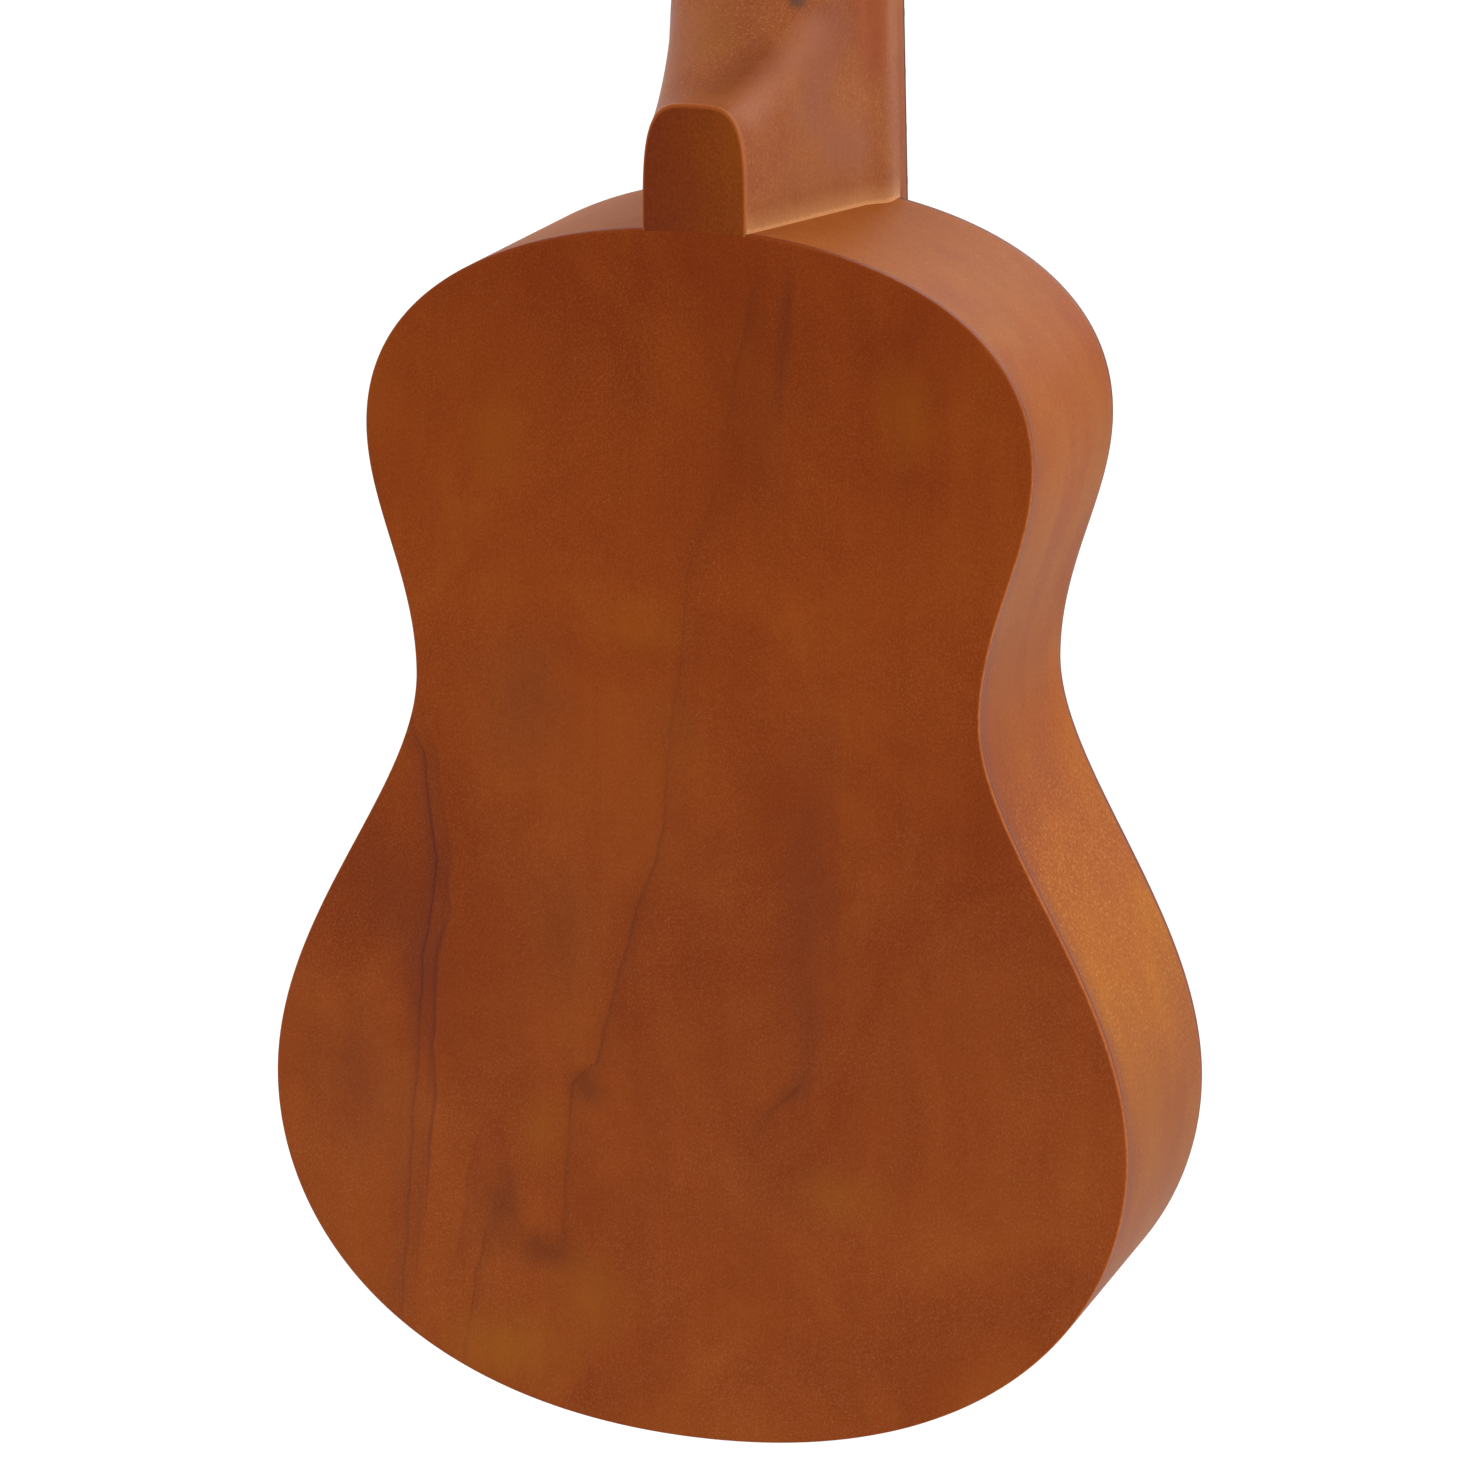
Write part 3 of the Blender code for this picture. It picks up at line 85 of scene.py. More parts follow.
# %% [markdown]
# ## Shader nodes in short
#
# Every finish below is a small network of nodes. `add` makes one node and fills its inputs. What a
# node gives out is a `Value`: plain arithmetic on values adds Math nodes, `ramp` turns a number into
# a colour, and `mix` blends two colours. Colours are written as a painter's 0 to 255 values and
# turned into light by `paint`.


# %% Node helpers
def paint(red, green, blue):
    """A colour in 0 to 255 steps as the linear light that a shader works in."""
    steps = np.array([red, green, blue]) / 255
    light = np.where(steps <= 0.04045, steps / 12.92, ((steps + 0.055) / 1.055) ** 2.4)
    return (*light.tolist(), 1.0)


def fill(node, inputs):
    """Fills a node's inputs: a value or a socket is joined to its input, anything else is set."""
    for key, given in dict(inputs).items():
        given = getattr(given, "socket", given)
        if isinstance(given, bpy.types.NodeSocket):
            node.id_data.links.new(given, node.inputs[key])
        else:
            node.inputs[key].default_value = given


def add(tree, kind, inputs=(), **settings):
    """One shader node with its settings and its inputs."""
    node = tree.nodes.new("ShaderNode" + kind)
    for key, setting in settings.items():
        setattr(node, key, setting)
    fill(node, inputs)
    return node


def reckon(operation, a, b=0.0, c=0.0, clamp=False):
    """One Math node. It goes where the first value among its inputs comes from."""
    tree = (a if isinstance(a, Value) else b).socket.id_data
    return Value(add(tree, "Math", {0: a, 1: b, 2: c}, operation=operation, use_clamp=clamp).outputs[0])


class Value:
    """What one node gives out. Arithmetic on it adds nodes: (a - b) * c is two of them."""

    def __init__(self, socket):
        self.socket = socket

    def __add__(self, other):
        return reckon("ADD", self, other)

    def __sub__(self, other):
        return reckon("SUBTRACT", self, other)

    def __rsub__(self, other):
        return reckon("SUBTRACT", other, self)

    def __mul__(self, other):
        return reckon("MULTIPLY", self, other)

    def __truediv__(self, other):
        return reckon("DIVIDE", self, other)

    def __pow__(self, other):
        return reckon("POWER", self, other)

    def __lt__(self, other):
        return reckon("LESS_THAN", self, other)

    def __gt__(self, other):
        return reckon("GREATER_THAN", self, other)

    def ramp(self, stops, how="LINEAR"):
        """A colour for each number: stops are pairs of a place from 0 to 1 and a colour or a grey."""
        node = add(self.socket.id_data, "ValToRGB", {0: self})
        node.color_ramp.interpolation = how
        elements = node.color_ramp.elements
        while len(elements) < len(stops):
            elements.new(1.0)
        for element, (place, color) in zip(elements, stops):
            element.position = place
            element.color = (*color, 1)[:4] if isinstance(color, tuple) else (color, color, color, 1)
        return Value(node.outputs[0])

    def curve(self, points):
        """This number looked up in a line through points from 0 to 1."""
        node = add(self.socket.id_data, "FloatCurve", {"Value": self})
        curve = node.mapping.curves[0]
        for _ in range(len(points) - 2):
            curve.points.new(0.5, 0.5)
        for knot, place in zip(curve.points, sorted(points)):
            knot.location = place
            knot.handle_type = "VECTOR"
        node.mapping.update()
        return Value(node.outputs[0])

    def mix(self, share, other, how="MIX"):
        """This colour with a share of another one."""
        inputs = {0: share, 6: self, 7: other}
        return Value(add(self.socket.id_data, "Mix", inputs, data_type="RGBA", blend_type=how).outputs[2])


class Finish:
    """A material, and a slot name that it keeps but nothing uses. x, y and z say where a point lies on its
    object.
    """

    def __init__(self, name, slot, roughness, metallic=0.0, gloss=0.5):
        self.slot = slot
        self.material = bpy.data.materials.new(name)
        self.material.use_nodes = True
        self.tree = self.material.node_tree
        self.shader = self.tree.nodes["Principled BSDF"]
        self.show({"Metallic": metallic, "Specular IOR Level": gloss, "Roughness": roughness})
        self.place = add(self.tree, "TexCoord").outputs["Object"]
        self.x, self.y, self.z = map(Value, add(self.tree, "SeparateXYZ", {0: self.place}).outputs)

    def show(self, inputs):
        """Fills inputs of the shader."""
        fill(self.shader, inputs)

    def node(self, kind, inputs=(), out=0, **settings):
        return Value(add(self.tree, kind, inputs, **settings).outputs[out])

    def vector(self, operation, a, b=(0, 0, 0), out=0):
        """One Vector Math node. A length comes out of its second socket, number 1."""
        return self.node("VectorMath", {0: a, 1: b}, out, operation=operation)

    def mark(self, label):
        """A number that the piece carries at each of its points."""
        return self.node("Attribute", out="Fac", attribute_name=label)

    def noise(self, scale, stretch=(1, 1, 1), detail=3.0, rough=0.5, bend=0.0):
        """Cloudy noise with so many features a metre, stretched along any axis."""
        mapped = self.node("Mapping", {"Vector": self.place, "Scale": stretch})
        return self.node("TexNoise", {"Vector": mapped, "Scale": scale, "Detail": detail,
                                      "Roughness": rough, "Distortion": bend})

    def sway(self, reach, *noise):
        """Noise that goes half of the reach to either side of zero."""
        return (self.noise(*noise) - 0.5) * reach

    def dent(self, height, strength, depth):
        bump = self.node("Bump", {"Strength": strength, "Distance": depth, "Height": height})
        self.show({"Normal": bump})


# %% [markdown]
# ## Light, floor and background
#
# A soft studio: an even white world for fill, one large lamp on the right for the sides, one on the
# left, and one for the front. Rays from the camera, from a gloss and through glass see a plain white
# world and a white floor, and the floor keeps a faint shadow.

# %% Light, floor and background
FLOOR_DROP = 0.035
FLOOR_HALF = 6.0
WORLD_FILL = 0.55
BODY_MIDDLE = Vector((0, 0.03, -0.28))


def seen_directly(tree):
    """1 for a ray from the camera, from a gloss or through glass."""
    rays = add(tree, "LightPath").outputs
    either = reckon("MAXIMUM", Value(rays["Is Camera Ray"]), rays["Is Glossy Ray"])
    return reckon("MAXIMUM", either, rays["Is Transmission Ray"])


def two_looks(owner, output, hidden, seen):
    """Gives a world or a material one look for light that bounces, and one for rays that see it."""
    owner.use_nodes = True
    tree = owner.node_tree
    tree.nodes.clear()
    shown = seen_directly(tree)
    both = add(tree, "MixShader", {0: shown, 1: hidden(tree), 2: seen(tree)})
    add(tree, output, {0: both.outputs[0]})


def grey_shader(kind, grey, *strength):
    """What makes one plain shader of a kind in a tree."""
    inputs = dict(enumerate([(grey, grey, grey, 1), *strength]))
    return lambda tree: add(tree, kind, inputs).outputs[0]


def white_floor(tree):
    """Mostly a glow, so that the floor stays white and a shadow only tints it."""
    parts = [make(tree) for make in (grey_shader("BsdfDiffuse", 0.32), grey_shader("Emission", 1, 0.82))]
    return add(tree, "AddShader", dict(enumerate(parts))).outputs[0]


def make_floor():
    mesh = bpy.data.meshes.new("floor")
    level = cad_box[0].z - FLOOR_DROP
    corners = [(x * FLOOR_HALF, y * FLOOR_HALF, level) for x, y in ((-1, -1), (1, -1), (1, 1), (-1, 1))]
    mesh.from_pydata(corners, [], [(0, 1, 2, 3)])
    floor = bpy.data.objects.new("floor", mesh)
    bpy.context.scene.collection.objects.link(floor)
    material = bpy.data.materials.new("floor_white")
    two_looks(material, "OutputMaterial", grey_shader("BsdfDiffuse", 0.8), white_floor)
    mesh.materials.append(material)


def make_lamp(name, direction, distance, size, watts):
    """A square soft lamp in a direction from the body's middle, aimed at it."""
    lamp = bpy.data.objects.new(name, bpy.data.lights.new(name, "AREA"))
    lamp.data.shape = "SQUARE"
    lamp.data.size = size
    lamp.data.energy = watts
    bpy.context.scene.collection.objects.link(lamp)
    away = Vector(direction).normalized()
    lamp.location = BODY_MIDDLE + away * distance
    lamp.rotation_euler = away.to_track_quat("Z", "Y").to_euler()


world = bpy.data.worlds.new("studio")
two_looks(world, "OutputWorld", grey_shader("Background", 1, WORLD_FILL), grey_shader("Background", 1, 1.0))
bpy.context.scene.world = world
make_floor()
make_lamp("right_softbox", (-0.9, 0.30, 0.40), 1.6, 1.3, 9.5)
make_lamp("left_softbox", (0.75, 0.65, 0.75), 1.8, 1.4, 9)
make_lamp("front_softbox", (-0.3, -0.9, 0.5), 1.8, 1.4, 14)

# %% [markdown]
# ## Sizes
#
# Only the heel's curves, the shaft's roundness and the body's shoulders are refined here, by less
# than 2 mm, because they follow the photograph more closely that way.

# %% Sizes of the instrument
SCALE_LENGTH = 0.345
BODY_TOP = -SCALE_LENGTH / 2
BODY_LENGTH = 0.240
TAIL = BODY_TOP - BODY_LENGTH
BODY_DEPTH = 0.0564
PLATE = 0.0020
SIDE = 0.0018
NECK_NUT_WIDTH, NECK_JOINT_WIDTH = 0.0355, 0.0456
NUT_THICK, NUT_RISE = 0.0045, 0.0022
GLUE_GAP = 0.0003
BOARD_FRONT = -0.0053  # the fretboard's playing face
HEAD_TILT = math.radians(12)
HEAD_START = np.array([0, 0, NUT_THICK + 2 * GLUE_GAP])
HEAD_UP = np.array([0, math.sin(HEAD_TILT), math.cos(HEAD_TILT)])
HEAD_BACK = np.array([0, math.cos(HEAD_TILT), -math.sin(HEAD_TILT)])
HEAD_THICK = 0.012
# Name, gauge, side of the centre line and row of its post for each string
STRINGS = (("g", 0.00071, -1, 0), ("c", 0.00084, -1, 1), ("e", 0.00076, 1, 1), ("a", 0.00061, 1, 0))

# %% [markdown]
# ## Surfaces from grids
#
# A grid is an array of rows and columns of points. `skin` turns any number of grids into one mesh:
# neighbours in a grid become four-sided faces, points that coincide are welded, and the faces are
# turned outwards. In a tube the last column meets the first, in a sheet it doesn't. An end closes
# when its last row shrinks to one point.


# %% Mesh helpers
def xyz(x, y, z):
    """Points from three arrays that fit each other's shapes."""
    return np.stack(np.broadcast_arrays(x, y, z), axis=-1)


def at_level(points, level):
    """Flat points with their third measure."""
    return np.column_stack([points, np.full(len(points), level)])


def faces_of(rows, columns, around, first):
    """Four-sided faces between neighbours of a grid whose points are numbered row by row."""
    index = np.arange(rows * columns).reshape(rows, columns) + first
    if around:
        index = np.concatenate([index, index[:, :1]], axis=1)
    faces = np.stack([index[:-1, :-1], index[:-1, 1:], index[1:, 1:], index[1:, :-1]], axis=-1)
    return faces.reshape(-1, 4)


def closed_ends(grid):
    """The grid with each end row's middle as one more row, so that the ends close."""
    first, last = (np.broadcast_to(row.mean(axis=0), row.shape) for row in (grid[0], grid[-1]))
    return np.concatenate([[first], grid, [last]])


def quad_mesh(name, points, faces, marks=()):
    """A smooth mesh of four-sided faces, welded where points coincide, with its faces turned outwards."""
    mesh = bpy.data.meshes.new(name)
    mesh.vertices.add(len(points))
    mesh.vertices.foreach_set("co", points.ravel())
    mesh.loops.add(faces.size)
    mesh.loops.foreach_set("vertex_index", faces.ravel())
    mesh.polygons.add(len(faces))
    mesh.polygons.foreach_set("loop_start", np.arange(0, faces.size, 4))
    mesh.update(calc_edges=True)
    for label, values in dict(marks).items():
        mesh.attributes.new(label, "FLOAT", "POINT").data.foreach_set("value", values.ravel())
    shell = bmesh.new()
    shell.from_mesh(mesh)
    bmesh.ops.remove_doubles(shell, verts=shell.verts, dist=2e-7)
    bmesh.ops.dissolve_degenerate(shell, edges=shell.edges, dist=1e-8)
    bmesh.ops.recalc_face_normals(shell, faces=shell.faces)
    shell.to_mesh(mesh)
    shell.free()
    mesh.shade_smooth()
    return mesh


def skin(name, tubes, finish, body="ukulele", replaces=(), corner=40, marks=(), sheets=()):
    """One piece from grids of points. Edges sharper than the corner's degrees stay crisp."""
    points, faces, first = [], [], 0
    for grid, around in [(tube, True) for tube in tubes] + [(sheet, False) for sheet in sheets]:
        points.append(np.asarray(grid, float).reshape(-1, 3))
        faces.append(faces_of(grid.shape[0], grid.shape[1], around, first))
        first += len(points[-1])
    mesh = quad_mesh(name, np.concatenate(points), np.concatenate(faces), marks)
    mesh.set_sharp_from_angle(angle=math.radians(corner))
    return own(name, mesh, finish, body, replaces)


def own(name, mesh, finish, body, replaces=()):
    """Links a mesh as a piece: its finish, the body it rides on and the nodes it stands for."""
    mesh.materials.clear()
    mesh.materials.append(finish.material)
    piece = bpy.data.objects.new(name, mesh)
    bpy.context.scene.collection.objects.link(piece)
    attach(piece, body)
    if replaces:
        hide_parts(*replaces)
    return piece


def smoothstep(value, start, end):
    """0 at the start, 1 at the end, and level at both."""
    t = np.clip((value - start) / (end - start), 0, 1)
    return t * t * (3 - 2 * t)


def quarter_turn(steps):
    return np.linspace(0, math.pi / 2, steps)


def half_circle(steps):
    """Points of half a circle of radius 1."""
    angle = np.linspace(0, math.pi, steps)
    return np.stack([np.cos(angle), np.sin(angle)], axis=1)


def eased_edge(radius, steps):
    """Inset, and distance from the outer face, for each step over a plate's rounded edge."""
    angle = quarter_turn(steps)
    return radius * (1 - np.stack([np.cos(angle), np.sin(angle)], axis=1))


def whole_turn(steps):
    return np.arange(steps) / steps * 2 * math.pi


def moved(grid, matrix):
    """The grid carried by a 4 by 4 matrix."""
    carrier = np.array(matrix)
    return grid @ carrier[:3, :3].T + carrier[:3, 3]


def turned(profile, steps, matrix):
    """A profile of (radius, height) points turned about local Z, as a tube."""
    radius, height = np.asarray(profile, float).T[..., None]
    angle = whole_turn(steps)
    return moved(xyz(radius * np.cos(angle), radius * np.sin(angle), height), matrix)


def rounded_corners(corners, radius, steps=4):
    """A profile with each inner corner replaced by a small round: a curve pulled towards the corner."""
    corners = np.asarray(corners, float)
    made = [corners[:1]]
    t = np.linspace(0, 1, steps + 1)[:, None]
    for before, here, after in zip(corners[:-2], corners[1:-1], corners[2:]):
        to_before, to_after = before - here, after - here
        reach = min(radius, np.linalg.norm(to_before) / 2, np.linalg.norm(to_after) / 2)
        start = here + to_before / np.linalg.norm(to_before) * reach
        end = here + to_after / np.linalg.norm(to_after) * reach
        made.append((1 - t) ** 2 * start + 2 * (1 - t) * t * here + t**2 * end)
    made.append(corners[-1:])
    return np.concatenate(made)


# %% [markdown]
# ## The stained wood
#
# The wood is a pale, even-grained basswood under a sprayed red-brown stain. The stain lies in soft
# clouds, and the open pores catch the light as fine golden specks. Each network starts from the
# point's place on the object, so nothing slides when it turns. A small function then changes the
# colour last for each piece, for differences in stain and for painted highlights, sheen and shade.


# %% Stained wood
def stained_wood(name, slot, colors, changes, gloss=0.06, pores=3000):
    """A base colour with clouds of a darker and a lighter one, faint grain along Z, and pores in drifts."""
    base, dark, light, pore = colors
    wood = Finish(name, slot, 0.44, gloss=gloss)
    clouds = wood.noise(30, (1, 1, 0.8), 4.0, 0.6, 0.5)
    color = clouds.ramp([(0.34, dark), (0.5, base), (0.66, light)])
    drift = wood.noise(110, (1, 1, 0.45), 3.0, 0.6)
    color = color.mix(drift.ramp([(0.3, 0.0), (0.7, 0.45)]), base)
    grain = wood.noise(420, (1, 1, 0.03), 3.0, 0.6)
    color = color.mix(0.3, grain.ramp([(0.3, 0.82), (0.7, 1.0)]), "MULTIPLY")
    specks = wood.noise(pores, (1, 1, 0.7), 2.0, 0.8)
    drifts = wood.noise(34).ramp([(0.36, 0.45), (0.62, 1.0)])
    color = color.mix(specks.ramp([(0.52, 0.0), (0.74, 0.572)]) * drifts, pore)
    color = color.mix(0.8, specks.ramp([(0.25, 0.78), (0.5, 1.0)]), "MULTIPLY")
    for change in changes:
        color = change(wood, color)
    wood.show({"Base Color": color})
    wood.dent(specks, 0.10, 0.0002)
    return wood


def down_the_body(wood):
    """0 at the joint and 1 at the tail."""
    return (BODY_TOP - wood.z) / BODY_LENGTH


def rim_line(wood, color):
    """A painted highlight as a tan line on the back's rounded rim, and a thin grey line just under it on the
    side.
    """
    share = (BODY_DEPTH - wood.y) / 0.008
    edge_highlight = share.ramp([(0.01, 0.0), (0.03, 0.8), (0.075, 0.8), (0.13, 0.0)])
    grey = share.ramp([(0.14, 0.0), (0.20, 0.8), (0.29, 0.42), (0.5, 0.26), (1.0, 0.0)])
    off_the_joint = down_the_body(wood).ramp([(0.05, 0.12), (0.2, 1.0)])
    strength = off_the_joint * wood.noise(900, rough=0.7).ramp([(0.35, 0.45), (0.6, 1.0)])
    # painted highlight: a tan line along the back's rounded rim
    color = color.mix(edge_highlight * strength, paint(200, 112, 52))
    return color.mix(grey * strength, paint(112, 68, 64))


def side_tones_and_sheen(wood, color):
    """The sides turn from rosy at the shoulder to golden over the lower bout, and back to rosy. The rosy grey
    stretches are painted sheen, the golden one is the stain's own tone.
    """
    share = down_the_body(wood)
    # painted sheen: the rosy grey stretches of this ramp stand for sheen on the sides
    shade = (share + wood.sway(0.25, 24, (1, 1.6, 1))).ramp([
        (0.0, (1.0, 1.0, 0.98)), (0.045, (0.97, 0.97, 0.84)), (0.09, (0.94, 0.82, 0.58)),
        (0.16, (0.98, 0.93, 0.84)), (0.27, (0.86, 0.86, 0.72)), (0.37, (0.85, 0.80, 0.80)),
        (0.46, (0.98, 0.87, 0.56)), (0.545, (1.08, 1.10, 0.68)), (0.60, (1.07, 1.14, 0.72)),
        (0.675, (0.93, 0.96, 0.86)), (0.76, (0.84, 0.85, 0.93)), (0.92, (0.83, 0.90, 1.1))])
    color = color.mix(1.0, shade, "MULTIPLY")
    lit = share.ramp([(0.40, 0.0), (0.50, 0.8), (0.62, 0.7), (0.72, 0.0)])
    grit = wood.noise(1500, detail=2.0, rough=0.7).ramp([(0.52, 0.0), (0.68, 0.7)])
    return color.mix(grit * lit, paint(214, 142, 70))


# %% [markdown]
# ## Mineral streaks in the back
#
# Dark mineral lines run down this board and bend at small kinks. Each one is a curve that gives its
# place across the board for each height. A point's distance from that curve is then looked up in a
# cross-section: crisp on one side and soft on the other. Soft oval stains complete them.

# %% Streaks
PURPLE_BROWN, EARTH_BROWN = paint(88, 38, 30), paint(104, 46, 20)
RED_BROWN, GOLDEN_BROWN = paint(118, 44, 22), paint(168, 92, 22)
LENGTH_MM = BODY_LENGTH * 1000
BOARD_MM, SECTION_MM = 180, 20  # what a streak's path and its cross-section can span

# For each streak its tint, its path as millimetres below the joint and across, its cross-section as
# millimetres and depth, and its strength down the board
STREAKS = (
    (PURPLE_BROWN,
     [(98, 57.6), (102.7, 56.7), (105.7, 54.9), (115, 54.0), (123, 53.0), (126.6, 52.3), (133, 53.1),
      (140, 54.2), (147, 55.4), (154.7, 55.9), (163.4, 56.5), (181.5, 58.3), (199, 59.3), (209.5, 60.1),
      (220, 60.8), (240, 61.6)],
     [(-3.3, 0.0), (-2.7, 0.34), (-2.2, 0.22), (-0.6, 0.26), (-0.2, 0.6), (0.0, 1.0), (0.35, 0.5),
      (1.3, 0.30), (5.0, 0.0)],
     [(97, 0.25), (106, 0.62), (125, 0.82), (150, 0.75), (165, 0.5), (190, 0.45), (215, 0.4), (230, 0.1)]),
    (PURPLE_BROWN,
     [(125, 51.2), (137, 49.6), (143, 51.8), (150, 52.8), (164, 53.7), (176, 53.2), (186.6, 54.5),
      (196, 55.4), (205, 55.9)],
     [(-0.5, 0.0), (0.0, 0.8), (0.7, 0.3), (2.2, 0.0)],
     [(125, 0.0), (132, 0.4), (160, 0.55), (185, 0.6), (200, 0.2), (206, 0.0)]),
    (EARTH_BROWN,
     [(0, -13.5), (9, -12.1), (18, -10.2), (28, -8.0), (50, -4.5), (65.7, 1.2), (82, 2.2), (98, 4.8),
      (109.4, 5.5), (116, 5.9), (124.5, 7.9), (132.5, 11.4), (141, 13.4), (152, 16.5), (160, 18.6),
      (165, 19.6), (167, 22.1), (169.6, 24.6), (174.6, 25.2), (183.4, 25.9), (191.7, 26.3), (206, 27.0)],
     [(-5.5, 0.0), (-2.4, 0.24), (-0.7, 0.42), (0.0, 1.0), (0.5, 0.24), (2.6, 0.0)],
     [(4, 0.0), (16, 0.42), (28, 0.24), (45, 0.12), (62, 0.26), (86, 0.32), (98, 0.22), (115, 0.36),
      (135, 0.52), (150, 0.45), (167, 0.6), (186, 0.34), (200, 0.36), (207, 0.0)]),
    (PURPLE_BROWN,
     [(4, -19.4), (10, -19.0), (22, -18.0), (31, -17.1), (45, -16.2)],
     [(-1.6, 0.0), (0.0, 1.0), (3.0, 0.0)],
     [(4, 0.0), (12, 0.36), (28, 0.26), (45, 0.0)]),
    (EARTH_BROWN,
     [(140, -22.8), (148, -23.7), (156, -23.9), (161.4, -23.3), (165, -21.7), (168.4, -18.9),
      (171.8, -15.3), (176, -13.1), (182.3, -11.7)],
     [(-4.5, 0.0), (-1.3, 0.5), (0.0, 1.0), (1.3, 0.5), (4.5, 0.0)],
     [(136, 0.0), (150, 0.16), (161, 0.22), (164.5, 0.42), (167, 0.72), (169.5, 0.45), (174, 0.24),
      (183, 0.0)]),
    (RED_BROWN,
     [(178, 42.3), (184, 44.6), (190.5, 46.6), (197.6, 47.1), (206, 48.4), (212, 51.2), (222, 54)],
     [(-5.5, 0.0), (-3.0, 0.45), (-0.4, 0.75), (0.1, 1.0), (0.7, 0.0)],
     [(176, 0.0), (183, 0.24), (195, 0.32), (206, 0.26), (215, 0.0)]),
    (RED_BROWN,
     [(178.4, 41.3), (182.2, 39.2), (187.5, 38.2), (195, 37.2), (201, 35.8)],
     [(-0.8, 0.0), (0.0, 1.0), (1.5, 0.6), (4.0, 0.0)],
     [(177, 0.0), (181, 0.2), (190, 0.28), (200, 0.2), (204, 0.0)]),
    (EARTH_BROWN,
     [(199, 42.3), (207, 43.8), (211, 44.9), (218.3, 46.0), (227.5, 47.5), (236, 48.5)],
     [(-2.4, 0.0), (-0.3, 0.45), (0.0, 1.0), (0.6, 0.0)],
     [(198, 0.0), (203, 0.45), (216, 0.45), (230, 0.34), (237, 0.0)]),
)
# For each stain its middle and its radii in millimetres across and down, its tilt, depth and tint
STAINS = (
    ((39.6, 196.8), (6.0, 12), 8, 0.50, EARTH_BROWN), ((31.0, 204.8), (11, 5.6), 8, 0.52, EARTH_BROWN),
    ((21.6, 170.2), (6.4, 4.4), 40, 0.50, EARTH_BROWN), ((-23, 128), (9, 52), 2, 0.22, PURPLE_BROWN),
    ((-12, 34), (9, 34), -10, 0.20, EARTH_BROWN), ((60, 140), (9, 30), -20, 0.20, PURPLE_BROWN),
    ((-20, 185), (22, 16), 0, 0.14, EARTH_BROWN), ((34, 92), (15, 20), 0, 0.26, PURPLE_BROWN),
    ((27, 140), (9, 18), 0, 0.24, EARTH_BROWN), ((70, 174), (12, 20), 0, 0.22, PURPLE_BROWN),
    ((4, 96), (9, 10), 0, 0.20, EARTH_BROWN), ((38, 226), (17, 11), 0, 0.50, GOLDEN_BROWN),
    ((21, 213), (10, 12), 0, 0.34, GOLDEN_BROWN), ((31, 180), (8, 10), 0, 0.26, GOLDEN_BROWN),
    ((-30, 187), (14, 8), 0, 0.26, GOLDEN_BROWN), ((40, 42), (9, 12), 0, 0.26, GOLDEN_BROWN),
    ((-42, 32), (8, 14), 0, 0.34, GOLDEN_BROWN), ((10, 78), (13, 7), 0, 0.26, GOLDEN_BROWN))


def stain(wood, color, middle, radii, tilt, amount, tint):
    """A soft oval stain: strongest at its middle, and gone at its radii."""
    centre = (middle[0] / 1000, 0, BODY_TOP - middle[1] / 1000)
    level = wood.vector("MULTIPLY", wood.vector("SUBTRACT", wood.place, centre), (1, 0, 1))
    upright = wood.node("VectorRotate", {"Vector": level, "Axis": (0, 1, 0), "Angle": math.radians(tilt)})
    scaled = wood.vector("MULTIPLY", upright, (1000 / radii[0], 0, 1000 / radii[1]))
    length = wood.vector("LENGTH", scaled, out=1)
    ragged = length + wood.noise(220, (1, 1, 0.4), 4.0, 0.7) * 0.9
    return color.mix((ragged * 0.5).ramp([(0.28, amount), (0.46, amount * 0.55), (0.72, 0.0)]), tint)


def back_streaks(wood, color):
    """All streaks and then all stains of the back."""
    across, share = wood.x + wood.sway(0.0016, 260, (1, 1, 0.5)), down_the_body(wood)
    for tint, path, section, strength in STREAKS:
        middle = share.curve([(down / LENGTH_MM, x / BOARD_MM + 0.5) for down, x in path])
        off = across / (BOARD_MM / 1000) + 0.5 - middle
        shape = (off * (BOARD_MM / SECTION_MM) + 0.5).ramp(
            [(0.5 + mm / SECTION_MM, depth) for mm, depth in section])
        fading = share.ramp([(down / LENGTH_MM, depth) for down, depth in strength])
        color = color.mix(shape * fading, tint)
    for oval in STAINS:
        color = stain(wood, color, *oval)
    return color


def darker_near_neck(wood, color):
    """Darker and redder near the neck, lighter and greyer towards the tail."""
    shade = down_the_body(wood).ramp([
        (0.0, (0.76, 0.66, 0.48)), (0.12, (0.86, 0.84, 0.64)), (0.3, (0.97, 1, 0.85)),
        (0.55, (0.90, 0.96, 1.2)), (0.75, (1.0, 1.14, 1.5)), (1.0, (1.06, 1.24, 1.6))])
    return color.mix(1.0, shade, "MULTIPLY")


# %% [markdown]
# ## Where the neck meets the body
#
# The heel's cap is dark like the back, partly its stain and partly painted shade, and a painted
# highlight runs along its eased edge all round the arch. A pale seam runs where the neck meets the
# body: each point of the neck carries its height over the body as a mark, and the finish reads it.

# %% Heel and seam
HEEL_CAP_WIDTH, HEEL_CAP_HEIGHT, HEEL_SWEEP = 0.0201, 0.0235, 0.034
HEEL_FLARE, HEEL_BLEND, HEEL_ARCH, HEEL_SLOPE = 0.92, 0.0040, 3.8, 1.70


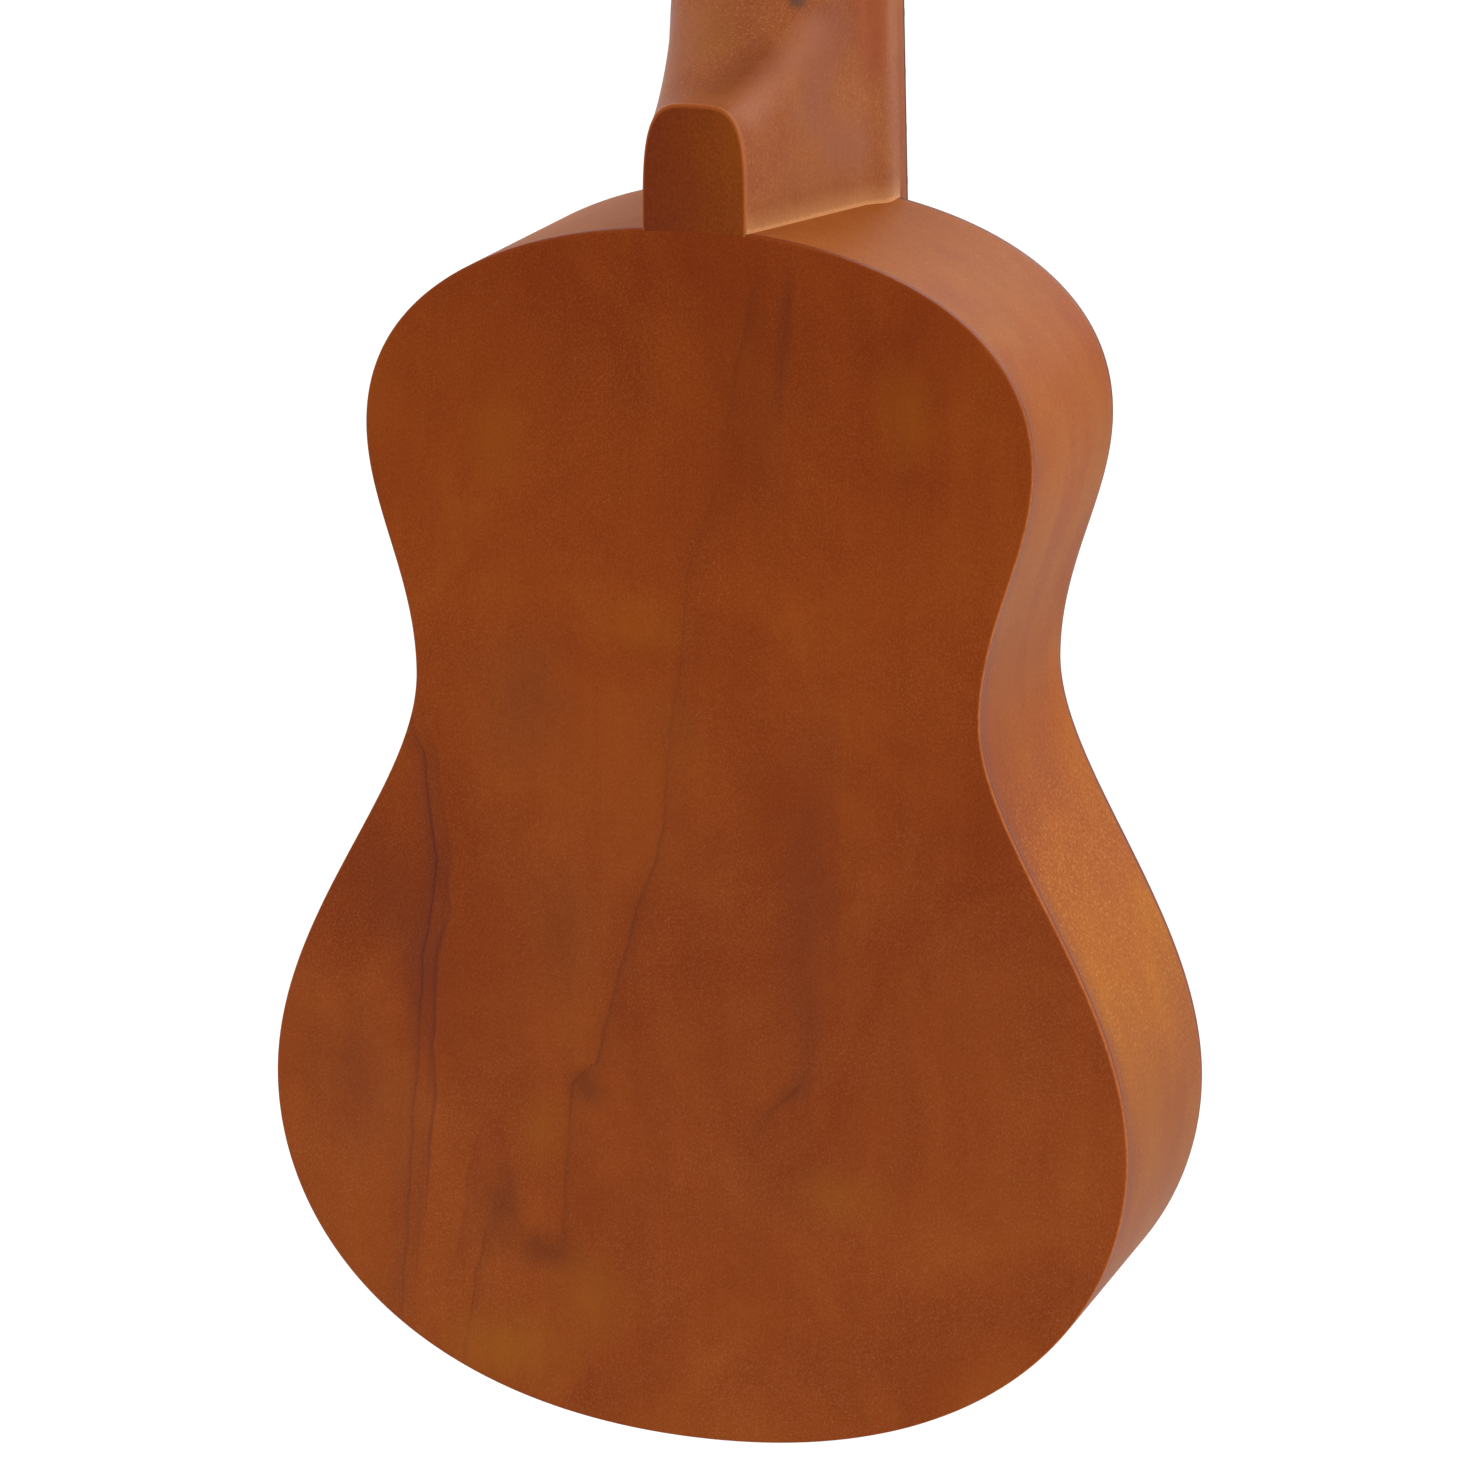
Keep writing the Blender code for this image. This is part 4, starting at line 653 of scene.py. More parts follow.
def heel_cap(wood, color):
    """Dark on the cap's plane like the back: partly the stain's tone, partly painted shade. The arch's own
    formula says how near a point is to the cap's edge.
    """
    under = (BODY_DEPTH - wood.y) / 0.002
    low = wood.z < BODY_TOP + 0.030
    on_cap = under.ramp([(0.0, 1.0), (0.04, 0.0)]) * low
    grit = wood.noise(1700, (1, 1, 0.8), 2.0, 0.8).ramp([(0.3, 0.66), (0.66, 1.0)])
    side = wood.x * -40 + 0.5 + wood.sway(0.9, 90, (1, 1, 0.6))
    deep = side.ramp([(0.1, paint(118, 42, 13)), (0.5, paint(128, 52, 8)), (0.9, paint(142, 66, 8))])
    # the cap's dark colour: partly the stain's tone, partly painted shade
    color = color.mix(on_cap * 0.93, deep.mix(1.0, grit, "MULTIPLY"))
    across = (reckon("ABSOLUTE", wood.x) / (HEEL_CAP_WIDTH / 2)) ** HEEL_ARCH
    height = reckon("MAXIMUM", (wood.z - BODY_TOP) / HEEL_CAP_HEIGHT, 0.0) ** HEEL_ARCH
    reach = (across + height) ** (1 / HEEL_ARCH)
    # painted highlight: a pale line along the cap's eased edge
    edge = reach.ramp([(0.962, 0.0), (0.982, 0.42), (1.0, 0.7)]) * on_cap
    color = color.mix(edge, paint(190, 100, 46))
    # painted highlight: a pale band on the sides just off the cap's edge
    edge_highlight = under.ramp([(0.03, 0.0), (0.08, 0.55), (0.3, 0.35), (0.7, 0.0)])
    return color.mix(edge_highlight * low, paint(192, 112, 68))


def pale_seam(wood, color):
    """A rough pale line over the body that fades within 5 millimetres, and none on the cap."""
    off_cap = wood.y < BODY_DEPTH - 0.0006
    share = (wood.mark("above_body") + wood.sway(1.4, 1400, (1, 1, 1), 3.0, 0.7)) * (1 / 12)
    line = share.ramp([(0.0, 1.0), (0.045, 0.85), (0.08, 0.46), (0.18, 0.26), (0.30, 0.08), (0.40, 0.0)])
    return color.mix(line * off_cap, paint(224, 160, 104))


def soft_patch(wood, color, start, end, radius, amount, tint):
    """A soft cloud of a tint round a line: painted highlight, sheen and light on the neck, and one dark
    blotch. Its ends are millimetres across, deep and above the joint.
    """
    first, last = (np.array([at[0], at[1], at[2] + BODY_TOP * 1000]) / 1000 for at in (start, end))
    line = last - first
    away = wood.vector("SUBTRACT", wood.place, tuple(first))
    along = wood.vector("DOT_PRODUCT", away, tuple(line / max(line @ line, 1e-9)), 1)
    along = reckon("MINIMUM", reckon("MAXIMUM", along, 0.0), 1.0)
    nearest = wood.node("VectorMath", {0: tuple(line), "Scale": along}, operation="SCALE")
    distance = wood.vector("DISTANCE", away, nearest, 1)
    share = distance * (1000 / radius) + wood.sway(0.7, 240, (1, 1, 1), 4.0, 0.65)
    return color.mix(share.ramp([(0.25, amount), (0.6, amount * 0.5), (1.0, 0.0)]), tint)


def neck_light_and_blotch(wood, color):
    """Painted light on the heel: a rosy highlight along the ridge over the cap, mauve sheen beside it, red by
    the fretboard, golden light behind; and one dark blotch in the wood.
    """
    # painted highlight, sheen and light in soft clouds; the last entry is a dark blotch in the wood
    for patch in (
            ((-7, 35.5, 29.5), (-2, 47, 26), 6.5, 0.50, paint(128, 66, 34)),
            ((-9.2, 50, 22.5), (-14.3, 26, 33.5), 6, 0.40, paint(190, 122, 94)),
            ((-13.5, 33, 19), (-16, 21, 34), 8, 0.44, paint(146, 88, 72)),
            ((-20, 11, 28), (-20, 11, 38), 8, 0.56, paint(150, 70, 42)),
            ((-19, 15, 10), (-17, 26, 13), 7, 0.26, paint(156, 98, 84)),
            ((3, 34, 31), (6, 24, 45), 6, 0.44, paint(156, 98, 44)),
            ((9.5, 38, 27), (11, 28, 36), 7, 0.34, paint(172, 108, 74)),
            ((-9.4, 23.7, 38.6), (-9.4, 23.7, 38.6), 2.4, 0.7, paint(84, 66, 58))):
        color = soft_patch(wood, color, *patch)
    by_fretboard = (wood.y / 0.008).ramp([
        (0.0, (0.95, 0.92, 0.84)), (0.55, (0.96, 0.93, 0.86)), (1.0, (1, 1, 1))])
    return color.mix(1.0, by_fretboard, "MULTIPLY")


# %% Faces inside the body
def pale_grain(wood):
    """The colour of bare wood."""
    grain = wood.noise(260, (1, 1, 0.06), 3.0, 0.55, 0.3)
    return grain.ramp([(0.32, paint(196, 160, 112)), (0.62, paint(222, 192, 148))])


def bare_under_back(wood, color):
    """No stain on the back's inner face."""
    return color.mix(wood.y < BODY_DEPTH - PLATE + 0.00002, pale_grain(wood))


def bare_under_front(wood, color):
    """No stain on the soundboard's inner face."""
    return color.mix(wood.y > PLATE - 0.00002, pale_grain(wood))


def bare_wall(wood, color):
    """No stain on a side's inner face, which carries a mark."""
    return color.mix(wood.mark("inner") > 0.5, pale_grain(wood))


def shaded_front_edge(wood, color):
    """A painted shade: a dark line on the front plate's rounded outer edge."""
    line = (wood.y / PLATE).ramp([(0.03, 0.0), (0.10, 0.8), (0.45, 0.7), (0.75, 0.0)])
    # painted shade along the rounded edge
    return color.mix(line, paint(84, 48, 38))


# %% The stained woods
BACK_WOOD = stained_wood(
    "back_wood", "stained_wood",
    (paint(150, 65, 18), paint(140, 57, 15), paint(159, 74, 22), paint(172, 100, 56)),
    [back_streaks, darker_near_neck, rim_line, bare_under_back])
# The sides and the neck get a lighter copy of the back's stain: partly their own tone, partly painted light,
# as they catch more light than the back.
SIDE_WOOD = stained_wood(
    "side_wood", "stained_wood",
    (paint(170, 92, 40), paint(162, 82, 40), paint(178, 102, 42), paint(200, 128, 70)),
    [side_tones_and_sheen, rim_line, bare_wall], 0.02, 2300)
NECK_WOOD = stained_wood(
    "neck_wood", "stained_wood",
    (paint(162, 90, 48), paint(150, 76, 44), paint(170, 100, 50), paint(206, 138, 92)),
    [neck_light_and_blotch, heel_cap, pale_seam], pores=2200)
BOARD_WOOD = stained_wood(
    "board_wood", "stained_wood",
    (paint(150, 66, 20), paint(138, 54, 16), paint(160, 78, 24), paint(176, 98, 40)),
    [bare_under_front, shaded_front_edge])

# %% [markdown]
# ## The outline of the body
#
# Half of the outline is four cubic curves from the tail up to the joint. Each one leaves a widest or
# narrowest place straight up, and how far it goes on before it bends is a share of the way to the
# next such place.

# %% Outline
CURVE_STEPS = 56
LOWER_BOUT, WAIST, UPPER_BOUT = 0.1736, 0.1130, 0.1325
SHOULDER = 0.0418  # from the upper bout's widest place up to the joint
LOWER_Z, WAIST_Z, UPPER_Z = TAIL + 0.0655, TAIL + 0.1499, BODY_TOP - SHOULDER


def bezier(start, leave, arrive, end):
    """One cubic curve as points, without its last."""
    t = np.arange(CURVE_STEPS)[:, None] / CURVE_STEPS
    start, leave, arrive, end = (np.array(p, float) for p in (start, leave, arrive, end))
    return (1 - t) ** 3 * start + 3 * (1 - t) ** 2 * t * leave + 3 * (1 - t) * t**2 * arrive + t**3 * end


def half_outline(inset=0.0):
    """The right half of the outline as (x, z) from the tail to the joint, moved in square to itself."""
    lower, waist, upper = LOWER_BOUT / 2, WAIST / 2, UPPER_BOUT / 2
    low, middle, high = LOWER_Z - TAIL, WAIST_Z - LOWER_Z, UPPER_Z - WAIST_Z
    points = np.concatenate([
        bezier((0, TAIL), (0.688 * lower, TAIL), (lower, LOWER_Z - 0.496 * low), (lower, LOWER_Z)),
        bezier((lower, LOWER_Z), (lower, LOWER_Z + 0.3945 * middle),
               (waist, WAIST_Z - 0.2737 * middle), (waist, WAIST_Z)),
        bezier((waist, WAIST_Z), (waist, WAIST_Z + 0.3934 * high),
               (upper, UPPER_Z - 0.3354 * high), (upper, UPPER_Z)),
        bezier((upper, UPPER_Z), (upper, UPPER_Z + 0.71 * SHOULDER), (0.48 * upper, BODY_TOP), (0, BODY_TOP)),
        [(0, BODY_TOP)],
    ])
    along = np.gradient(points, axis=0)
    along[[0, -1]] = (1, 0), (-1, 0)
    along /= np.linalg.norm(along, axis=1, keepdims=True)
    outward = np.stack([along[:, 1], -along[:, 0]], axis=1)
    return points - inset * outward


def whole_outline(inset=0.0):
    half = half_outline(inset)
    return np.concatenate([half, half[-2:0:-1] * (-1, 1)])


def in_plane(outline, depth):
    """Outline points (x, z) at a depth from the soundboard's face."""
    return xyz(outline[..., 0], depth, outline[..., 1])


def rim(insets_and_depths):
    """Rows of the whole outline, each with its inset and its depth."""
    return np.array([in_plane(whole_outline(inset), depth) for inset, depth in insets_and_depths])


def ladder(inset, depth, columns=16):
    """A flat face inside the outline: each row runs from one side to the other."""
    half = half_outline(inset)
    return xyz(half[:, :1] * np.linspace(-1, 1, columns + 1), depth, half[:, 1:])


# %% [markdown]
# ## The back
#
# The back is one flat board, sawn to the outline and sanded, so that its rim is slightly rounded.
# Rows of the outline go over the rim, and two flat faces close it.

# %% Back
RIM_RADIUS = 0.0006
INNER_BACK = BODY_DEPTH - PLATE
over_rim = [(inset, BODY_DEPTH - d) for inset, d in eased_edge(RIM_RADIUS, 6)]
skin("back_panel", [rim([(0, INNER_BACK), *over_rim])], BACK_WOOD, replaces=["back_plate"],
     sheets=[ladder(0, INNER_BACK), ladder(RIM_RADIUS, BODY_DEPTH)])

# %% [markdown]
# ## The soundboard
#
# The soundboard has its round hole. A grid whose rows run from the hole's edge out to the rim fills
# the face between them, because every part of the outline can be seen from the hole.

# %% Soundboard
HOLE_Z, HOLE_RADIUS, HOLE_EASE = BODY_TOP - 0.0840, 0.0240, 0.0004
RING_INNER, RING_OUTER, RING_DEPTH = 0.0275, 0.0315, 0.0007


def towards_hole(outline, radius):
    """For each outline point, the point of a circle round the hole that lies in its direction."""
    away = outline - (0, HOLE_Z)
    return (0, HOLE_Z) + radius * away / np.linalg.norm(away, axis=1, keepdims=True)


def face_with_hole(inset, depth, radius, rows=12):
    """A flat face from a circle round the hole to the outline."""
    share = np.linspace(0, 1, rows)[:, None, None]
    inner, outer = towards_hole(whole_outline(), radius), whole_outline(inset)
    return in_plane((1 - share) * inner + share * outer, depth)


def make_soundboard():
    """The rim, the front face, the ring's groove with the hole's wall, and the inner face."""
    eased = HOLE_RADIUS + HOLE_EASE
    groove = [(RING_OUTER, 0), (RING_OUTER, RING_DEPTH), (RING_INNER, RING_DEPTH), (RING_INNER, 0)]
    hole = [(eased, 0), (eased, 0), (HOLE_RADIUS + HOLE_EASE * 0.3, HOLE_EASE * 0.3),
            (HOLE_RADIUS, HOLE_EASE), (HOLE_RADIUS, PLATE - HOLE_EASE), (eased, PLATE)]
    rings = np.array([in_plane(towards_hole(whole_outline(), r), d) for r, d in groove + hole])
    skin("soundboard_panel", [rim([(0, PLATE), *eased_edge(RIM_RADIUS, 6)]),
                              face_with_hole(RIM_RADIUS, 0, RING_OUTER), rings,
                              face_with_hole(0, PLATE, eased)], BOARD_WOOD, replaces=["soundboard"])


make_soundboard()

# %% [markdown]
# ## The sides
#
# Two thin strips are bent along the outline, and meet at the tail. Each one is a small rectangle
# carried along half of the outline. Its inner points carry a mark, because they stay unstained.


# %% Sides
def make_side(label, side):
    depths = np.linspace(PLATE, INNER_BACK, 12)
    outside = [in_plane(half_outline() * (side, 1), depth) for depth in depths]
    inside = [in_plane(half_outline(SIDE) * (side, 1), depth) for depth in depths[::-1]]
    grid = closed_ends(np.stack(outside + inside, axis=1))
    inner = np.zeros(grid.shape[:2])
    inner[:, len(outside):] = 1
    skin(f"side_wall_{label}", [grid], SIDE_WOOD, replaces=[f"side_{label}"], marks={"inner": inner})


make_side("left", -1)
make_side("right", 1)

# %% [markdown]
# ## The neck, its heel and the headstock
#
# The neck is carved from one piece. A section across it is half of a rounded shape, and it changes
# along the neck: at the body it is the heel, as deep as the body and arched at its cap, above it the
# shaft, and past the nut the flat headstock that leans back. The heel is the hardest form here. At
# each depth it is an arch, and the arches grow from the cap to the shaft.

# %% Neck and heel
SHAFT_NUT, SHAFT_JOINT, SHAFT_ROUNDNESS = 0.0130, 0.0150, 2.8
HEAD_LENGTH, HEAD_FLARE, HEAD_CROWN, CROWN_ROUNDNESS = 0.110, 0.019, 0.020, 2.8
HEAD_SHOULDER, HEAD_TOP, HEAD_EDGE = 0.0480, 0.0540, 0.0025
# Where a section's points lie: shares of the turn round its back, and of the flat behind that
TURN = np.concatenate([[0, 0.008, 0.02, 0.04], np.linspace(0.06, 1, 34)])
FLAT = np.array([0.97, 0.93, 0.85, 0.7, 0.5, 0.25, 0])


def neck_half_width(z):
    return (NECK_NUT_WIDTH + (NECK_JOINT_WIDTH - NECK_NUT_WIDTH) * z / BODY_TOP) / 2


def rounded(depth, full, width, flat, roundness):
    """Half width of a section at a depth: full at the front, a flat of half width flat at the back."""
    share = np.clip(depth / full, 0, 1) ** roundness
    return flat + (width - flat) * (1 - share) ** (1 / roundness)


def heel_half_width(depth, height, shaft):
    """Half the heel's width at a depth and a height over the joint: an arch that grows from the cap on."""
    forward = BODY_DEPTH - depth
    cap, base = HEEL_CAP_WIDTH / 2, NECK_JOINT_WIDTH / 2
    wide = cap + (base - cap) * np.clip(forward / BODY_DEPTH, 0, 1) ** HEEL_FLARE
    sweep = np.clip(forward / (BODY_DEPTH - shaft), 0, 1)
    tall = HEEL_CAP_HEIGHT + HEEL_SWEEP * (1 - (1 - sweep**HEEL_SLOPE) ** (1 / HEEL_SLOPE))
    share = np.clip(height / tall, 0, 1) ** HEEL_ARCH
    return wide * (1 - share) ** (1 / HEEL_ARCH)


def section_depths(full, cap_share):
    """Depths of a section's points, close together at the front edge and at the back."""
    reach = TURN / (1 - cap_share * (1 - TURN[-2]))
    return full * np.sin(np.minimum(reach, 1) * math.pi / 2)


def whole_sections(depths, widths):
    """From half widths to whole sections: front middle, one side, the back's flat, the other side."""
    flat_x = widths[:, -2:-1] * FLAT
    flat_d = depths[:, -2:-1] + (depths[:, -1:] - depths[:, -2:-1]) * (1 - FLAT)
    middle = np.zeros((len(widths), 1))
    x = np.concatenate([middle, widths[:, :-1], flat_x], axis=1)
    d = np.concatenate([middle, depths[:, :-1], flat_d], axis=1)
    return np.concatenate([x, -x[:, -2:0:-1]], axis=1), np.concatenate([d, d[:, -2:0:-1]], axis=1)


def shaft_sections(z):
    """Sections of the shaft and the heel at the heights z, as a grid of points."""
    z = z[:, None]
    height = np.maximum(z - BODY_TOP, 0)
    width = neck_half_width(np.minimum(z, 0))
    shaft = SHAFT_NUT + (SHAFT_JOINT - SHAFT_NUT) * np.clip(z / BODY_TOP, 0, 1)
    rise = np.clip((height - HEEL_CAP_HEIGHT) / HEEL_SWEEP, 0, 1)
    full = BODY_DEPTH - (BODY_DEPTH - shaft) * (1 - (1 - rise) ** HEEL_SLOPE) ** (1 / HEEL_SLOPE)
    depths = section_depths(full, 1 - smoothstep(rise, 0, 1))
    plain = rounded(depths, shaft, width, 0, SHAFT_ROUNDNESS)
    heel = heel_half_width(depths, height, shaft)
    near = np.clip(HEEL_BLEND - np.abs(plain - heel), 0, None)
    fade = 1 - smoothstep(rise, 0.6, 1)
    blended = np.maximum(plain, heel) + fade * near**2 / (4 * HEEL_BLEND)
    x, d = whole_sections(depths, np.minimum(blended, width))
    return xyz(x, d, z)


def head_half_width(v):
    """Half the headstock's width at a distance from the nut's far side, along the headstock."""
    crown_start = HEAD_LENGTH - HEAD_CROWN
    grow = np.clip((v - HEAD_FLARE) / (crown_start - HEAD_FLARE), 0, 1)
    full = HEAD_SHOULDER + (HEAD_TOP - HEAD_SHOULDER) * grow
    wide = NECK_NUT_WIDTH + (full - NECK_NUT_WIDTH) * smoothstep(v, 0, HEAD_FLARE)
    over = np.clip((v - crown_start) / HEAD_CROWN, 0, 1) ** CROWN_ROUNDNESS
    return wide / 2 * (1 - over) ** (1 / CROWN_ROUNDNESS)


def head_sections(v):
    """Sections of the headstock. Just over the nut they turn from the shaft's shape to a flat one."""
    v = v[:, None]
    share = smoothstep(v, -HEAD_FLARE / 2, HEAD_FLARE)
    width = np.where(v > 0, head_half_width(np.maximum(v, 0)), neck_half_width(np.minimum(v, 0)))
    full = SHAFT_NUT + (HEAD_THICK - SHAFT_NUT) * share
    flat = np.maximum(width - HEAD_EDGE, width / 4) * share
    depths = section_depths(full, share)
    widths = rounded(depths, full, width, flat, SHAFT_ROUNDNESS + 6 * share)
    ease = 0.0008 * np.minimum(share, width / 0.004)
    widths = widths - ease + np.sqrt(np.maximum(ease**2 - np.maximum(ease - depths, 0) ** 2, 0))
    x, d = whole_sections(depths, widths)
    angle = HEAD_TILT * share
    up = np.where(v > 0, HEAD_UP, np.array([0, 0, 1.0]))
    y = (HEAD_START[1] + v * up[:, 1:2]) + d * np.cos(angle)
    z = (HEAD_START[2] + v * up[:, 2:3]) - d * np.sin(angle)
    return xyz(x, y, z)


def shoulder_height(x):
    """Height of the body's top edge at a distance from the centre line."""
    upper = half_outline()[3 * CURVE_STEPS:][::-1]
    return np.interp(np.abs(x), upper[:, 0], upper[:, 1])


def make_neck():
    """Rows from the foot, which dips into the body, over heel and shaft to the headstock's crown."""
    cap_top = BODY_TOP + HEEL_CAP_HEIGHT
    arch = cap_top - HEEL_CAP_HEIGHT * (1 - np.sin(np.linspace(0, 1, 40) * math.pi / 2))
    sweep = cap_top + HEEL_SWEEP * (1 - np.cos(np.linspace(0, 1, 56)[1:] * math.pi / 2))
    shaft = np.linspace(cap_top + HEEL_SWEEP, -HEAD_FLARE, 24)[1:]
    lower = shaft_sections(np.concatenate([[BODY_TOP], arch[1:], sweep, shaft]))
    foot = lower[:1].copy()
    foot[..., 2] = shoulder_height(foot[..., 0]) - 0.0005
    crown = HEAD_LENGTH - HEAD_CROWN + HEAD_CROWN * np.sin(np.linspace(0, 0.993, 24) * math.pi / 2)
    upper = head_sections(np.concatenate([np.linspace(-HEAD_FLARE / 2, HEAD_FLARE, 36),
                                          np.linspace(HEAD_FLARE, crown[0], 16)[1:-1], crown]))
    grid = closed_ends(np.concatenate([foot, lower, upper]))
    above_body = (grid[..., 2] - shoulder_height(grid[..., 0])) * 1000
    skin("neck_wood", [grid], NECK_WOOD, replaces=["neck"], marks={"above_body": above_body})


make_neck()

# %% [markdown]
# ## Finishes for the fittings
#
# The fretboard and the bridge are dark oiled wood, the nut, saddle, dots and buttons a cream
# plastic, and the tuners nickel plate with fine brush marks and a colour that dulls in clouds.


# %% Finishes for the fittings
def dark_grain(wood, deep, middle, pale):
    """Dark wood's fine grain, and its colour from three shades."""
    grain = wood.noise(900, (1, 1, 0.035), 5.0, 0.65)
    return grain, grain.ramp([(0.3, paint(*deep)), (0.55, paint(*middle)), (0.72, paint(*pale))])


def dark_wood():
    wood = Finish("dark_wood", "dark_wood", 0.42, gloss=0.35)
    grain, color = dark_grain(wood, (38, 24, 18), (66, 42, 30), (88, 58, 42))
    clouds = wood.noise(40, (1, 1, 0.5), 2.0)
    wood.show({"Base Color": color.mix(0.5, clouds.ramp([(0.35, 0.72), (0.65, 1.0)]), "MULTIPLY")})
    wood.dent(grain, 0.25, 0.0002)
    return wood


def pale_wood():
    wood = Finish("pale_wood", "pale_wood", 0.7, gloss=0.3)
    specks = wood.noise(1800, (1, 1, 0.2), 2.0)
    color = pale_grain(wood).mix(0.25, specks.ramp([(0.35, 0.75), (0.6, 1.0)]), "MULTIPLY")
    wood.show({"Base Color": color})
    wood.dent(specks, 0.2, 0.0002)
    return wood


def cream_plastic(name, low, high, roughness):
    """Plastic with a faint marbling and a slightly uneven polish."""
    plastic = Finish(name, "white_plastic", roughness)
    marbling = plastic.noise(160, (1, 1, 1), 4.0, 0.55, 1.2)
    smears = plastic.noise(500)
    plastic.show({"Base Color": marbling.ramp([(0.35, low), (0.65, high)]),
                  "Roughness": smears.ramp([(0.3, roughness * 0.8), (0.7, roughness * 1.3)])})
    plastic.dent(smears, 0.05, 0.0001)
    return plastic


def plated_metal(name, slot, clean, dull, roughness, brush=(1, 1, 1)):
    """Metal whose colour dulls in clouds and whose roughness follows fine brush marks."""
    metal = Finish(name, slot, roughness, metallic=1.0)
    clouds = metal.noise(220, (1, 1, 1), 4.0, 0.6)
    marks = metal.noise(2500, brush, 3.0, 0.6)
    metal.show({"Base Color": clouds.ramp([(0.35, dull), (0.55, clean)]),
                "Roughness": marks.ramp([(0.3, roughness * 0.75), (0.7, roughness * 1.35)])})
    metal.dent(marks, 0.06, 0.0001)
    return metal


def clear_nylon():
    nylon = Finish("nylon_line", "nylon", 0.25)
    drawn = nylon.noise(1500, (1, 1, 0.02), 2.0)
    nylon.show({"Base Color": drawn.ramp([(0.35, paint(222, 222, 214)), (0.65, paint(240, 240, 234))]),
                "Transmission Weight": 0.35, "IOR": 1.5})
    return nylon


def playing_face(wood, color):
    """The fretboard's face is dark, and its sides were stained together with the neck."""
    share = (wood.y - (BOARD_FRONT - 0.0001)) / 0.002
    dark = dark_grain(wood, (52, 30, 20), (78, 46, 30), (98, 62, 42))[1]
    return color.mix(share.ramp([(0.62, 1.0), (0.76, 0.0)]), dark)


DARK_WOOD = dark_wood()
FINGER_WOOD = stained_wood(
    "finger_wood", "dark_wood",
    (paint(156, 86, 46), paint(144, 72, 42), paint(164, 96, 48), paint(196, 124, 76)),
    [playing_face], 0.02, 2200)
PALE_WOOD = pale_wood()
BONE_WHITE = cream_plastic("bone_white", paint(226, 218, 196), paint(238, 232, 214), 0.3)
PEARL_WHITE = cream_plastic("pearl_white", paint(222, 216, 202), paint(244, 240, 230), 0.18)
NICKEL = plated_metal("nickel_plate", "nickel", paint(206, 203, 196), paint(176, 172, 162), 0.22)
FRET_METAL = plated_metal("fret_metal", "fret_metal", paint(204, 202, 196), paint(184, 181, 174), 0.2,
                          (1, 0.05, 1))
NYLON = clear_nylon()

# %% [markdown]
# ## Fretboard, frets and position dots
#
# The fretboard is a tapered slab with eased edges. Each fret sits at the equal tempered distance
# from the nut, so the gaps shrink by the twelfth root of two. A fret is a low half-round crown,
# filed down at its ends, on a thin tang.

# %% Slabs
FACE_PLANE = Matrix.Rotation(math.pi / 2, 4, "X")  # local X, Y and Z to X, Z and -Y


def slab(outline, high, radius, matrix):
    """A slab on local Z whose upper edge is rounded. outline gives its points for an inset."""
    rows = [(0, 0), *((inset, high - d) for inset, d in eased_edge(radius, 5))]
    return moved(closed_ends(np.array([at_level(outline(inset), level) for inset, level in rows])), matrix)


# %% Fretboard and frets
FRET_TOP = -0.0066
FRET_HALF, TANG_HALF, TANG_DEPTH = 0.001, 0.0003, 0.0015
BOARD_END = BODY_TOP - 0.008
DOT_DOME = [(0, 0.00012), (0.0012, 0.00011), (0.0024, 0.00007), (0.0028, 0), (0.0028, -0.001), (0, -0.001)]


def fret_distance(number):
    return SCALE_LENGTH * (1 - 2 ** (-number / 12))


def board_outline(inset):
    end, start = BOARD_END + inset, -inset
    wide, narrow = neck_half_width(BOARD_END) - inset, neck_half_width(0) - inset
    return np.array([(wide, end), (narrow, start), (-narrow, start), (-wide, end)])


def make_fret(number):
    """Half an ellipse for the crown over a narrow tang, carried across the neck and lowered at its ends."""
    z, half = -fret_distance(number), neck_half_width(-fret_distance(number)) - 0.0002
    crown = half_circle(13) * (FRET_HALF, BOARD_FRONT - FRET_TOP)
    tang = [(-TANG_HALF, 0), (-TANG_HALF, -TANG_DEPTH), (TANG_HALF, -TANG_DEPTH), (TANG_HALF, 0)]
    along, high = np.concatenate([crown, tang]).T
    across = np.array([-half, -half + 0.0003, -half + 0.0009, half - 0.0009, half - 0.0003, half])
    filed = np.array([0.35, 0.8, 1, 1, 0.8, 0.35])[:, None]
    rise = np.where(high > 0, high * filed, high)
    grid = xyz(across[:, None], BOARD_FRONT - rise, z + along)
    skin(f"fret_wire_{number:02d}", [closed_ends(grid)], FRET_METAL, replaces=[f"fret_{number:02d}"])


skin("finger_board", [slab(board_outline, -BOARD_FRONT, 0.0006, FACE_PLANE)], FINGER_WOOD,
     replaces=["fretboard"])
for number in range(1, 13):
    make_fret(number)
for number in (5, 7, 10):
    seat = Matrix.Translation((0, BOARD_FRONT, -(fret_distance(number) + fret_distance(number - 1)) / 2))
    skin(f"pearl_dot_{number}", [turned(DOT_DOME, 40, seat @ FACE_PLANE)], PEARL_WHITE,
         replaces=[f"position_dot_{number}"])

# %% [markdown]
# ## Nut, saddle and bridge
#
# All three are bars across the instrument. A section of each changes along the bar: the nut dips into
# a round slot under each string, the saddle falls at its ends, and the bridge rises from thin wings
# to the middle, with a slot and a pocket for each string's knot.

# %% Where the strings lie
NUT_SPACING, SADDLE_SPACING = 0.0092, 0.0135
SADDLE_Z = -SCALE_LENGTH - 0.001
SADDLE_HALF, SADDLE_ROUND = 0.0215, 0.0012
BRIDGE_LOW, BRIDGE_HIGH = SADDLE_Z - 0.012, SADDLE_Z + 0.006
BRIDGE_RISE, BRIDGE_SLOT = 0.0075, 0.0044
HAIR = 0.00002  # between two points that make a step


def string_x(index, spacing):
    return (index - 1.5) * spacing


